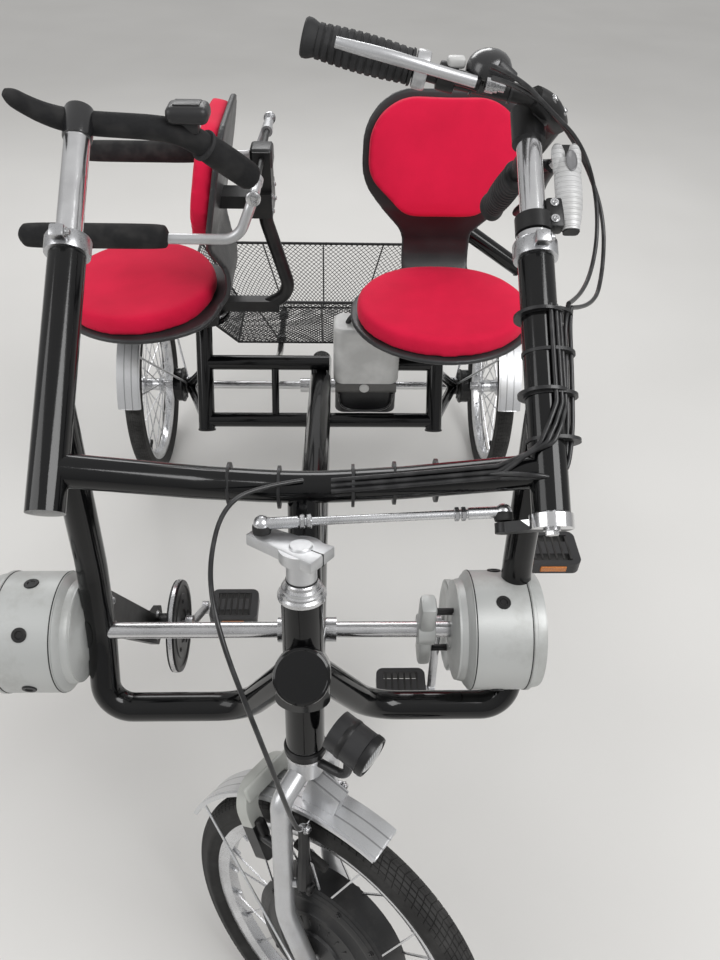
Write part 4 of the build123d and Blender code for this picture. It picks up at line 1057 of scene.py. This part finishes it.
# A thin black ring above the cups: painted shade in the gap.
gap_shade_ring = turned([(18.2, 22), (18.9, 22.4), (18.9, 23.8), (18.2, 24.2)], 48)
fit("headset_gap_shade", [gap_shade_ring], on_head(813), seam_and_gap_shade, "front_steering")
lever_place = on_head(862)
bar = blocked((-23, -31, 0), (23, 70, 15), 2.2, 2)
for vertex in bar.data.vertices:
    if vertex.co.y > 30:
        vertex.co.x *= 0.62
fit("lever_bar", [bar], lever_place, machined, "front_steering")
lid = turned([(14.6, 14), (14.6, 15.6), (13.6, 15.6), (13.2, 16.6), (12.4, 17.6), (0.5, 17.7)], 40)
fit("steerer_top", [lid], lever_place, machined, "front_steering")
# The slit is a thin black block: painted shade where the lever is cut through.
slit = [blocked((-0.9, -31.4, -0.3), (0.9, -14, 15.3), 0.3, 1)]
fit("lever_slit_shade", slit, lever_place, seam_and_gap_shade, "front_steering")
pinch = [lever_place @ shift((22.6, y, 7.5)) @ spin(pi / 2, "Y") for y in (-23, -8)]
fit("lever_screws", copied(bolt_model(3.6, 2), pinch), Matrix(), bright_steel, "front_steering")

# Driver's riser
# A chromed steel tube that turns in its post, held by a collar with a pinch screw. The black
# steering lever below the post is clamped to its pin.
POST_FOOT = 0.897


def riser_silver():
    """Chromed tube above the post and black coated steel below it."""
    finish = Finish("riser_chrome")
    height = finish.split()[2]
    low = height < POST_FOOT
    lines = finish.noise(60, 6.0, 0.7, finish.stretched(14, 1, 1))
    cloud = finish.noise(16, 4.0)
    chrome = finish.mix(finish.spread(cloud, 0.35, 0.75), (0.80, 0.80, 0.81), (0.62, 0.62, 0.63))
    return finish.feed(
        Base_Color=finish.mix(low, chrome, (0.012, 0.012, 0.013)),
        Metallic=1.0 - low * 0.7,
        Roughness=finish.spread(lines, 0.3, 0.7, 0.12, 0.24) + low * 0.22,
        Normal=finish.bump(lines, 0.10, 0.0003))


paint(["driver_riser"], riser_silver())


def post_collar(rider, post):
    """The clamping collar at a post's top, with its pinch screw."""
    collar = [turned([(21, 312), (27, 313), (27.4, 316), (27.4, 332), (26, 335), (17, 335.6)], 48),
              blocked((-9, -42, 315), (9, -24, 331), 3)]
    fit(rider + "_post_collar", collar, post, crank_silver, "frame")
    fit(rider + "_collar_bolt", [bolt_model(4.2, 5)], post @ shift((9, -35, 323)) @ along_x,
        bright_steel, "frame")


post_frame = frame_of(post_point(1, 0), post_way, (1, 0, 0))
post_collar("driver", post_frame)
turning = bar_turn @ post_frame
nuts = [turned([(8, -25), (8, -20), (6, -19)], 6), turned([(10, -20), (10, -18)], 24)]
fit("driver_lever_nut", nuts, turning, bright_steel, "driver_steering", 20)

# Driver's handlebar
# A swept steel bar in satin black under two ribbed rubber grips. On it sit a silver brake
# lever with its cable adjuster, a small grey switch and a domed bell.


def foam_black():
    """Closed-cell foam with fine pores and dusty high spots."""
    finish = Finish("foam_black", Specular_IOR_Level=0.25)
    pores = finish.noise(2600, 2.0)
    lumps = finish.noise(240, 3.0)
    dust = finish.noise(30, 5.0)
    return finish.feed(
        Base_Color=finish.mix(finish.spread(dust, 0.45, 0.8), (0.017, 0.017, 0.018), (0.045, 0.044, 0.043)),
        Roughness=finish.spread(lumps, 0.3, 0.7, 0.78, 0.92),
        Normal=finish.bump(pores, 0.35, 0.0006, finish.bump(lumps, 0.25, 0.0012)))


paint(["driver_bar"], black_metal)
bar_set = about(post_point(1, 0), post_way, BAR_PARKED)
bar_axes = Matrix(((1, 0, 0), tuple(-post_down), tuple(post_way))).transposed().to_4x4()
bar_place = bar_set @ shift(at(*post_point(1, 500))) @ bar_axes @ Matrix.Scale(0.001, 4)
grip_rubber = rubber("grip_rubber", (0.022, 0.022, 0.023), 0.72, 1400)
for name, side in (("far", -1), ("near", 1)):
    knee = Vector((side * 103, -50, 28))
    end = Vector((side * 228, -172, 66))
    way = (end - knee).normalized()
    across = way.cross(Vector((0, 0, 1))).normalized()
    grip_axes = Matrix((across, way.cross(across), way)).transposed().to_4x4()
    grip_place = bar_place @ shift(end) @ grip_axes
    rings = [(15, -132), (18.5, -131), (19.5, -128)]
    for step in range(13):
        middle = -124 + step * 9
        swell = 17.6 + 2.6 * sin(pi * (step + 1) / 14)
        rings += [(swell - 1.4, middle - 3.6), (swell, middle - 2.4), (swell, middle + 2.4),
                  (swell - 1.4, middle + 3.6)]
    rings += [(19.6, -5), (20.2, -2), (20.2, 2), (18.4, 4.4), (10, 5.2), (0.5, 5.4)]
    grip = turned(rings, 36)
    grip.data.transform(Matrix.Diagonal((1.0, 1.18, 1.0, 1)))
    fit("driver_grip_" + name, [grip], grip_place, grip_rubber, "driver_steering")
    if side < 0:
        band = turned([(20, -150), (21.6, -149), (22.2, -146), (22.2, -138), (21.4, -134), (19, -133)], 40)
        fit("driver_grip_band", [band], grip_place, silver_paint, "driver_steering")
    perch = [turned([(12, -186), (16, -185), (16.6, -182), (16.6, -166), (16, -163), (12, -162)], 32),
             drawn([knee + way * 2, knee + way * 4 + Vector((side * 6, 22, -14)),
                    knee - way * 14 + Vector((side * 4, 26, -22))], [9, 9, 8], 3)]
    perch[0].data.transform(shift(end) @ grip_axes)
    fit("brake_perch_" + name, perch, bar_place, black_metal, "driver_steering")
    lead = Vector((side * 8, 30, -24))
    bends = ((-8, 1), (26, 1.05), (70, 1.25), (118, 1.3), (150, 1.05), (164, 1.1))
    lever = drawn([knee + way * along + lead * out for along, out in bends], [7, 6.6, 7.4, 7.8, 6.8, 6.2])
    fit("brake_lever_" + name, [lever], bar_place, silver_paint if side < 0 else black_metal,
        "driver_steering")
    inward = Vector((side * -73, 76, -20)).normalized()
    start = knee + lead * 0.95 + inward * 20
    adjuster = turned([(5, 0), (8.6, 1), (8.6, 11), (7, 12), (7, 16), (5, 17), (5, 24), (3.4, 25)], 10)
    adjuster.data.transform(shift(start) @ aimed(inward))
    fit("cable_adjuster_" + name, [adjuster], bar_place, bright_steel, "driver_steering", 25)

upward = Vector((-0.627, 0.527, 0.574))
bell_spot = Vector((-72, -18, 19)) + upward * 12
bell_turn = shift(bell_spot) @ aimed(upward)
dome = turned([(20, 0), (26.5, 1), (28, 3), (28, 7), (27, 13), (24, 19.5),
               (18.5, 25), (11, 28.6), (4, 30), (0.5, 30.2)], 40)
dome.data.transform(bell_turn)
foot = turned([(14, -16), (16, -15), (16, 0), (12, 1)], 28)
foot.data.transform(bell_turn)
fit("bell_dome", [dome, foot], bar_place, moulded("bell_black", (0.012, 0.012, 0.013), 0.2, 0.6),
    "driver_steering")
knob = turned([(9, -13), (10, -12), (10, 12), (8.6, 14), (4, 14.6), (0.5, 14.8)], 28)
knob.data.transform(bell_turn @ shift((-16, -16, 8)) @ spin(0.9, "Y"))
fit("bell_knob", [knob], bar_place, black_plastic, "driver_steering")
switch = blocked((-11, -8, 0), (11, 8, 13), 4, 3)
switch.data.transform(shift(Vector((-100, -46, 27)) + upward * 12) @ aimed(upward))
pale_grey = moulded("pale_grey", (0.50, 0.50, 0.49), 0.42, 0.1)
fit("bar_switch", [switch], bar_place, pale_grey, "driver_steering")
stem = [drawn([(0, 0, 4), (0, 8, 6), (0, 18, 8), (0, 27, 8)], [17.5, 17.5, 16, 15], 4),
        drawn([(-34, 26, 8), (-16, 30, 8), (16, 30, 8), (34, 26, 8)], [13, 16, 16, 13], 4)]
fit("stem_clamp", stem, bar_place, black_metal, "driver_steering")
screws = copied(bolt_model(3.6, 4), [shift((x, 43, 8)) @ spin(-pi / 2, "X") for x in (-14, 14)])
fit("stem_screws", screws, bar_place, bright_steel, "driver_steering")
ties = [turned([(12.6, -1.6), (13.6, -1.4), (13.6, 1.4), (12.6, 1.6)], 28) for step in range(2)]
run = Vector((-73, -76, 20))
for tie, share in zip(ties, (0.3, 0.75)):
    tie.data.transform(shift(Vector((-30, 26, 8)) + run * share) @ aimed(run))
fit("bar_ties", ties, bar_place, black_plastic, "driver_steering")

# Parking brake lever
# A silver-grey die-cast lever with a ribbed finger face, hooked at its top by two lobes,
# pivoted on a black bracket that clamps round the riser.


def ribbed_grey():
    """Coated casting with fine cross ribs over its lower half."""
    finish = Finish("ribbed_grey", Coat_Weight=0.1, Metallic=0.2)
    y, z = finish.split()[1:]
    ribs = finish.start.maths("SINE", (y * 0.819 + z * 0.574) * 900)
    cloud = finish.noise(30, 5.0)
    return finish.feed(
        Base_Color=finish.mix(finish.spread(cloud, 0.45, 0.85), (0.56, 0.56, 0.56), (0.42, 0.42, 0.41)),
        Roughness=finish.spread(cloud, 0.3, 0.8, 0.36, 0.5),
        Normal=finish.bump(finish.spread(ribs, 0.2, 0.9), 0.6, 0.0014))


paint(["parking_lever"], black_metal)
lever_grey = ribbed_grey()
body = drawn([(45, -2, 352), (45, -3, 368), (45, -5, 396), (45, -5, 424), (45, -4, 446)],
             [11, 15, 17.5, 17.5, 15], 5)
lobes = [drawn([(45 + x, -5, 430), (45 + x * 1.15, -6, 452), (45 + x * 1.2, -5, 463), (45 + x, -4, 468)],
               [9, 9, 8.4, 6], 4) for x in (-8.8, 8.8)]
flatten = shift((45, -4, 0)) @ Matrix.Diagonal((1, 0.62, 1, 1)) @ shift((-45, 4, 0))
for part in [body] + lobes:
    part.data.transform(flatten)
fit("parking_lever_body", [body] + lobes, post_frame, lever_grey, "driver_steering")
# A dark grey oval on the lever's face: painted shade in its recess.
recess = turned([(6.4, 0), (7.2, 0.6), (6.2, 1.4), (5.4, 0.6), (0.5, 0.4)], 28)
recess.data.transform(shift((48, -14.8, 440)) @ spin(pi / 2, "X") @ Matrix.Diagonal((1, 2.1, 1, 1)))
fit("parking_lever_recess_shade", [recess], post_frame, moulded("recess_shade_grey", (0.16, 0.16, 0.165), 0.4),
    "driver_steering")
bracket = [blocked((14, -12, 352), (36, 10, 392), 4, 2), blocked((30, -10, 366), (42, 8, 404), 4, 2),
           turned([(20, 346), (23, 347), (23, 369), (20, 370)], 36)]
fit("parking_lever_bracket", bracket, post_frame, black_metal, "driver_steering")
screws = copied(bolt_model(3.4, 4), [shift((24, -12, z)) @ spin(pi / 2, "X") for z in (362, 384)])
fit("parking_lever_screws", screws, post_frame, bright_steel, "driver_steering")

# Passenger's handlebar
# A fixed riser with a foam covered bar in two pieces: a straight one with a rounded end and a
# thicker grip, with a black bell box between them and a gloss clamp on top of the riser.
tube_silver = plated("silver_tube", (14, 1, 1), (0.80, 0.80, 0.81), 0.17)
paint(["passenger_riser"], tube_silver)
foam_skin = foam_black()
paint(["passenger_bar"], foam_skin)
left_axes = shift(at(*post_point(-1, 500))) @ bar_axes @ Matrix.Scale(0.001, 4)
foam = [drawn([(-74, 44, 0), (-70, 39, 0), (-58, 24, 0), (-40, 8, 0), (-18, -3, 0),
               (10, -9, 0), (50, -12, 0), (90, -15, 0), (118, -22, 0), (140, -40, 0), (152, -55, 0)],
              [5, 10.5, 11.5, 13, 14.4, 14.8, 15, 15.2, 15.6, 16.4, 17], 5),
        drawn([(146, -48, 0), (150, -53, 0), (172, -80, 0), (198, -113, 0), (203, -119, 0), (207, -124, 0)],
              [17, 19, 19.4, 19.4, 17, 6], 5)]
passenger_foam = fit("passenger_foam", foam, left_axes, foam_skin, "frame")
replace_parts(passenger_foam, "passenger_bar")
ring_way = Vector((60, -76, 0)).normalized()
ring = turned([(17, -3), (20.4, -2.4), (21, 0), (20.4, 2.4), (17, 3)], 36)
ring.data.transform(shift((147, -49, 0)) @ aimed(ring_way))
fit("passenger_grip_ring", [ring], left_axes, grip_rubber, "frame")
gloss_black = moulded("gloss_black", (0.010, 0.010, 0.011), 0.14, 0.7)
top_clamp = [turned([(16.2, -30), (18, -29), (18.4, -26), (18.4, 9), (17.4, 12), (12, 13.4),
                     (0.5, 13.8)], 40)]
fit("passenger_clamp", top_clamp, left_axes, gloss_black, "frame")
level = shift(at(*(post_point(-1, 500) + Vector((134, 15, -8))))) @ Matrix.Scale(0.001, 4)
case = [blocked((-27, -22, 2), (27, 20, 24), 9, 4), blocked((-12, -9, -12), (12, 9, 4), 4)]
fit("bell_case", case, level, black_plastic, "frame")
face = blocked((-17, -13, 23), (17, 12, 25.4), 1.2, 2)
fit("bell_face", [face], level, black_metal, "frame")
post_collar("passenger", frame_of(post_point(-1, 0), post_way, (1, 0, 0)))

# Tie rod and fixed cables
# A polished rod with a lock nut behind each ball joint, and the bundled cables held to the
# post and crossbar by black cable ties.
paint(["tie_rod"], polished)
ball_a = Vector((-46.7, -1155.7, 877.6))
ball_b = Vector((235.3, -1145.1, 886.5))
rod_way = (ball_b - ball_a).normalized()
lock_nuts = []
for start, sign in ((ball_a, 1), (ball_b, -1)):
    for along in (44, 52):
        nut = turned([(6.4, 0), (8.6, 1), (8.6, 5.4), (6.4, 6.2)], 6)
        nut.data.transform(frame_of(start + rod_way * sign * along, rod_way * sign, (0, 0, 1)))
        lock_nuts.append(nut)
boot_rubber = rubber("ball_boot", (0.014, 0.014, 0.014), 0.6)
fit("tie_rod_nuts", lock_nuts, Matrix(), bright_steel, "tie_rod", 20)
boots = []
for start in (ball_a, ball_b):
    boot = turned([(8, -11.5), (10.4, -11), (11.2, -8), (11.2, -3), (10.6, -1)], 28)
    boot.data.transform(frame_of(start, head_way if start is ball_a else post_way, (1, 0, 0)))
    boots.append(boot)
fit("ball_boots", boots, Matrix(), boot_rubber, "tie_rod")
paint(["cables"], cable_black)
tied = []
tie_starts = ((Vector((313, -976.85, 1065.25)), 28), (Vector((320, -968.85, 1055.25)), 34))
for index, (start, outward) in enumerate(tie_starts):
    aside = (
        (236, (outward + 1, -7, 0)), (190, (outward - 1, -9, 2)), (138, (outward - 2, -7, 0)),
        (100, (outward - 5, -13, -4)), (68, (16, -26 - 6 * index, -10)), (50, (-30, -24, 10 + 7 * index)))
    route = [start] + [post_point(1, along) + Vector(off) for along, off in aside]
    route += [Vector((170, -1105, 903 + 6 * index)), Vector((120, -1105, 898 + 6 * index))]
    tied.append(drawn(route, 2.8, 3))
fit("tied_cables", tied, vehicle, cable_black, "frame", 60)
straps = []
for along in (240, 190, 138, 84):
    strap = turned([(22.3, -2.2), (23.6, -2), (23.6, 2), (22.3, 2.2)], 40)
    strap.data.transform(Matrix.Diagonal((1.35, 1.05, 1, 1)))
    strap.data.transform(shift((8, 0, along)))
    straps.append(strap)
fit("post_straps", straps, post_frame, black_plastic, "frame")
tie_bands = []
for x in (-90, -30, 60, 110, 160):
    share = abs(x) / POST_X
    band = turned([(20.6, -2), (26.6, -1.8), (26.6, 1.8), (20.6, 2)], 40)
    band.data.transform(shift((x, -1087 - 12 * share, 869 + 36 * share)) @ spin(pi / 2, "Y"))
    tie_bands.append(band)
fit("crossbar_ties", tie_bands, vehicle, black_plastic, "frame")

# Seat bases and shells
# Welded seat carriers on their turning plates. On each lies one shell of dark grey polymer,
# moulded with a rounded rim, a pan, a neck and a back.
paint(["driver_seat_base", "passenger_seat_base"], black_metal)
paint(["stick_holder"], frame_black)

shell_plastic = moulded("seat_shell_plastic", (0.022, 0.0225, 0.024), 0.46, 0.1)
for rider, body in (("passenger", "passenger_seat"), ("driver", "frame")):
    node = rider + "_seat_shell"
    shell = node_copy(rider + "_shell", node)
    apply_modifier(shell, "REMESH", mode="VOXEL", voxel_size=0.0036)
    apply_modifier(shell, "SMOOTH", factor=0.6, iterations=7)
    only_finish(shell, shell_plastic)
    bpy.ops.object.shade_smooth()
    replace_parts(shell, node)
    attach(shell, body)

# The four screws through the pan, and the swivel's bearing ring below it.
seat_places = {
    "driver": (vehicle @ shift(driver_swivel), "frame"),
    "passenger": (vehicle @ shift(passenger_swivel) @ spin(-pi / 2, "Z"), "passenger_seat"),
}
for rider, (place, body) in seat_places.items():
    ring = turned([(50, 589), (54, 590), (54.6, 592), (54.6, 595), (53, 597), (50, 597.6)], 64)
    fit(rider + "_swivel_ring", [ring], place, bright_steel, body)
    screws = copied(bolt_model(4.2, 4), [
        shift((x, y, 624)) @ spin(pi, "X") for x in (-84, 84) for y in (-150, 20)])
    fit(rider + "_pan_screws", screws, place, bright_steel, body)
    back_screws = copied(bolt_model(4.2, 4), [
        shift((x, 176, z)) @ spin(-pi / 2, "X") for x in (-34, 34) for z in (848, 878)])
    fit(rider + "_back_screws", back_screws, place, bright_steel, body)

# The walking stick holder's two rolled rims.
holder_start = Vector((12, 182, 745))
holder_way = (Vector((234, 149, 606)) - holder_start).normalized()
holder_foot = driver_swivel + holder_start
rims = []
for along in (1, 260):
    rim = turned([(16, -2), (20.6, -2), (21.8, 0), (20.6, 2), (16, 2)], 40)
    rim.data.transform(frame_of(holder_foot + holder_way * along, holder_way, (0, 1, 0)))
    rims.append(rim)
fit("holder_rims", rims, Matrix(), black_metal, "frame")

# Armrests
# Bent steel tube in silver paint with a long foam sleeve, hinged on the back by a pin with a
# chromed bolt at each end.
paint(["armrest_left", "armrest_right"], silver_paint)
ARMREST_X = 222
place = seat_places["passenger"][0]
for side, name in ((1, "left"), (-1, "right")):
    sleeve = drawn([(side * ARMREST_X, y, 876) for y in (-283, -278, -266, -140, -18, -9, -6)],
                   [8, 18, 23.5, 23.5, 23.5, 18, 8], 5)
    foam = fit("armrest_foam_" + name, [sleeve], place, foam_skin, name + "_armrest")
    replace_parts(foam, "armrest_pad_" + name)
    head = turned([(13, 0), (13.6, 1), (13.6, 7), (11, 9), (5, 9.6), (4.6, 7), (0.5, 7)], 28)
    head.data.transform(shift((side * ARMREST_X, 158, 952)) @ spin(side * pi / 2, "Y"))
    fit("armrest_bolt_" + name, [head], place, bright_steel, name + "_armrest")
block_piece = [blocked((-28, 134, 930), (28, 180, 970), 7, 3)]
fit("armrest_block", block_piece, place, black_plastic, "passenger_seat")

# Battery
# A light grey ABS case with a parting groove, a black carrying handle and a round button, on
# a black dock between the rear bars.
battery_plastic = moulded("battery_plastic", (0.56, 0.56, 0.55), 0.36, 0.15)
paint(["battery"], battery_plastic)
paint(["battery_dock"], black_plastic)
handle = [drawn([(66, -196, 571), (72, -194, 585), (88, -192, 590), (136, -192, 590),
                 (152, -194, 585), (158, -196, 571)], [6, 6.4, 7, 7, 6.4, 6], 4)]
fit("battery_handle", handle, vehicle, black_plastic, "frame")
smoke_grey = moulded("smoke_grey", (0.085, 0.083, 0.08), 0.24, 0.4)
band = [blocked((36, -234, 396), (188, -229, 424), 2, 2)]
fit("dock_band", band, vehicle, smoke_grey, "frame")
button = turned([(11, 0), (12, 1), (12, 3), (10.6, 4.4), (6, 5), (0.5, 5.2)], 32)
fit("battery_button", [button], vehicle @ shift((108, -233, 410)) @ spin(pi / 2, "X"),
    battery_plastic, "frame")
rim = drawn([(46, -233, 394), (46, -234, 372), (54, -235, 352), (84, -235, 342),
             (140, -235, 342), (170, -235, 352), (178, -234, 372), (178, -233, 394)], 3.4, 3)
fit("dock_rim", [rim], vehicle, gloss_black, "frame")

# Basket
# Fine expanded wire mesh on a bent rod frame, dipped in black plastic, on two rack tubes that
# come up from the rear bars.
wire_coat = moulded("wire_coat", (0.014, 0.014, 0.015), 0.42, 0.15)
RIM_LOW, RIM_HIGH = Vector((-355, -6, 517)), Vector((355, 338, 517))
FLOOR_LOW, FLOOR_HIGH = Vector((-240, 100, 330)), Vector((240, 296, 330))


def mesh_panel(corners, across, up):
    """One panel of diamond mesh between four corners, its wires drawn out of a flat grid."""
    bpy.ops.object.select_all(action="DESELECT")
    bpy.ops.mesh.primitive_grid_add(x_subdivisions=across, y_subdivisions=up, size=2)
    panel = bpy.context.object
    for vertex in panel.data.vertices:
        u = (vertex.co.x + 1) / 2
        v = (vertex.co.y + 1) / 2
        low = corners[0].lerp(corners[1], u)
        high = corners[3].lerp(corners[2], u)
        vertex.co = low.lerp(high, v)
    first = len(panel.data.vertices)
    bpy.ops.object.mode_set(mode="EDIT")
    bpy.ops.mesh.select_mode(type="FACE")
    bpy.ops.mesh.select_all(action="SELECT")
    bpy.ops.mesh.poke()
    bpy.ops.mesh.select_mode(type="EDGE")
    bpy.ops.mesh.select_all(action="DESELECT")
    bpy.ops.object.mode_set(mode="OBJECT")
    uses = {}
    for face in panel.data.polygons:
        for key in face.edge_keys:
            uses[key] = uses.get(key, 0) + 1
    for edge in panel.data.edges:
        edge.select = max(edge.vertices) < first and uses[tuple(sorted(edge.vertices))] == 2
    bpy.ops.object.mode_set(mode="EDIT")
    bpy.ops.mesh.dissolve_edges(use_verts=False)
    bpy.ops.object.mode_set(mode="OBJECT")
    return panel


def corner(low, high, x, y):
    """A corner of the level rectangle between two points."""
    return Vector((high.x if x else low.x, high.y if y else low.y, low.z))


def strut(foot, head, radius, roundness):
    """A straight rod between two points."""
    return drawn([foot, foot.lerp(head, 0.5), head], radius, roundness)


ring = [(0, 0), (1, 0), (1, 1), (0, 1)]
floor_ring = [corner(FLOOR_LOW, FLOOR_HIGH, x, y) for x, y in ring]
rim_ring = [corner(RIM_LOW, RIM_HIGH, x, y) for x, y in ring]
panels = []
for this in range(4):
    that = (this + 1) % 4
    width = ((rim_ring[this] - rim_ring[that]).length + (floor_ring[this] - floor_ring[that]).length) / 2
    corners = [floor_ring[this], floor_ring[that], rim_ring[that], rim_ring[this]]
    panels.append(mesh_panel(corners, round(width / 13), 16))
panels.append(mesh_panel(floor_ring, 36, 15))
wires = joined("basket_wires", panels)
modifier = wires.modifiers.new("wires", "WIREFRAME")
modifier.thickness = 2.4
modifier.use_even_offset = False
bpy.ops.object.modifier_apply(modifier=modifier.name)
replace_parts(fit("basket_wires", [wires], vehicle, wire_coat, "frame", 20), "basket")

rods = []
for loop, radius in ((rim_ring, 4), (floor_ring, 3)):
    rods += [strut(a, b, radius, 3) for a, b in zip(loop, loop[1:] + loop[:1])]
rods += [strut(foot, head, 3, 3) for foot, head in zip(floor_ring, rim_ring)]
for share in (0.25, 0.5, 0.75):
    for left, right in ((0, 1), (3, 2)):
        foot = floor_ring[left].lerp(floor_ring[right], share)
        head = rim_ring[left].lerp(rim_ring[right], share)
        rods.append(strut(foot, head, 2, 2))
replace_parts(fit("basket_frame", rods, vehicle, wire_coat, "frame"), "basket")
RACK_X = 120
rack_side = ((-178, 448), (-150, 430), (-125, 411), (-60, 375), (20, 335),
             (66, 322), (120, 321), (300, 321))
racks = [drawn([(side * RACK_X, y, z) for y, z in rack_side], 9, 4) for side in (-1, 1)]
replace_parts(fit("rack_tubes", racks, vehicle, frame_black, "frame"), "basket")
clips = [blocked((side * RACK_X - 13, y - 9, 311), (side * RACK_X + 13, y + 9, 334), 4, 2)
         for side in (-1, 1) for y in (130, 262)]
fit("basket_clips", clips, vehicle, black_plastic, "frame")

# Seat and back pads
# Foam cushions under stretched red fabric, crowned in the middle, with a rounded edge and a
# few long pulls across them.


def red_cloth():
    """Fine knitted red fabric: tiny ribs, soft sheen and shade along the pulls."""
    finish = Finish("red_cloth", Sheen_Weight=0.07, Sheen_Roughness=0.4, Specular_IOR_Level=0.18)
    x, y, z = finish.split()
    ribs = finish.start.maths("SINE", (x + z * 0.6) * 5200)
    rows = finish.start.maths("SINE", (y + z * 0.8) * 5200)
    weave = ribs * rows
    cloud = finish.noise(11, 4.0)
    fuzz = finish.noise(1900, 2.0)
    tone = finish.mix(finish.spread(cloud, 0.3, 0.75), (0.76, 0.011, 0.060), (0.64, 0.009, 0.048))
    tone = finish.mix(finish.spread(fuzz, 0.55, 0.8, 0.0, 0.35), tone, (0.46, 0.004, 0.026))
    pulls = finish.noise(10, 2.0, 0.4, finish.stretched(1.0, 0.22, 1.0))
    relief = finish.bump(pulls, 0.35, 0.006)
    return finish.feed(
        Base_Color=tone,
        Roughness=finish.spread(fuzz, 0.3, 0.8, 0.72, 0.88),
        Normal=finish.bump(weave, 0.12, 0.0004, relief))


red_fabric = red_cloth()


def eased(moves, pairs, rounds):
    """The moves, each averaged a number of times with those of the points beside it."""
    for _ in range(rounds):
        totals = [move.copy() for move in moves]
        counts = [1] * len(moves)
        for first, second in pairs:
            totals[first] += moves[second]
            totals[second] += moves[first]
            counts[first] += 1
            counts[second] += 1
        moves = [total / count for total, count in zip(totals, counts)]
    return moves


def swell(piece, pressure, most):
    """Blow a stuffed piece up as cloth, hold each point within a distance, and apply it."""
    rest = [v.co.copy() for v in piece.data.vertices]
    only(piece)
    cloth = piece.modifiers.new("cloth", "CLOTH")
    cloth.settings.quality = 4
    cloth.settings.use_pressure = True
    cloth.settings.uniform_pressure_force = pressure
    cloth.settings.effector_weights.gravity = 0
    cloth.settings.tension_stiffness = 12
    cloth.settings.compression_stiffness = 12
    cloth.settings.bending_stiffness = 0.6
    cloth.collision_settings.use_collision = False
    for step in range(1, 21):
        bpy.context.scene.frame_set(step)
    bpy.ops.object.modifier_apply(modifier=cloth.name)
    bpy.context.scene.frame_set(1)
    moves = [vertex.co - was for vertex, was in zip(piece.data.vertices, rest)]
    moves = [move.normalized() * min(move.length, most) for move in moves]
    pairs = [tuple(edge.vertices) for edge in piece.data.edges]
    for vertex, was, move in zip(piece.data.vertices, rest, eased(moves, pairs, 24)):
        vertex.co = was + move


def cushion(name, node, body, pressure, most):
    """A red pad in place of its plain solid."""
    piece = node_copy(name, node)
    middle = sum((v.co for v in piece.data.vertices), Vector()) / len(piece.data.vertices)
    for vertex in piece.data.vertices:
        vertex.co = middle + (vertex.co - middle) * 1.004
    apply_modifier(piece, "REMESH", mode="VOXEL", voxel_size=0.006)
    apply_modifier(piece, "SMOOTH", factor=0.5, iterations=4)
    swell(piece, pressure, most)
    apply_modifier(piece, "SMOOTH", factor=0.5, iterations=3)
    apply_modifier(piece, "SUBSURF", levels=1, render_levels=1)
    only_finish(piece, red_fabric)
    bpy.ops.object.shade_smooth()
    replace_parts(piece, node)
    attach(piece, body)


for rider, body in (("passenger", "passenger_seat"), ("driver", "frame")):
    cushion(rider + "_seat_cushion", rider + "_seat_pad", body, 2.0, 0.004)
    cushion(rider + "_back_cushion", rider + "_back_pad", body, 2.6, 0.006)
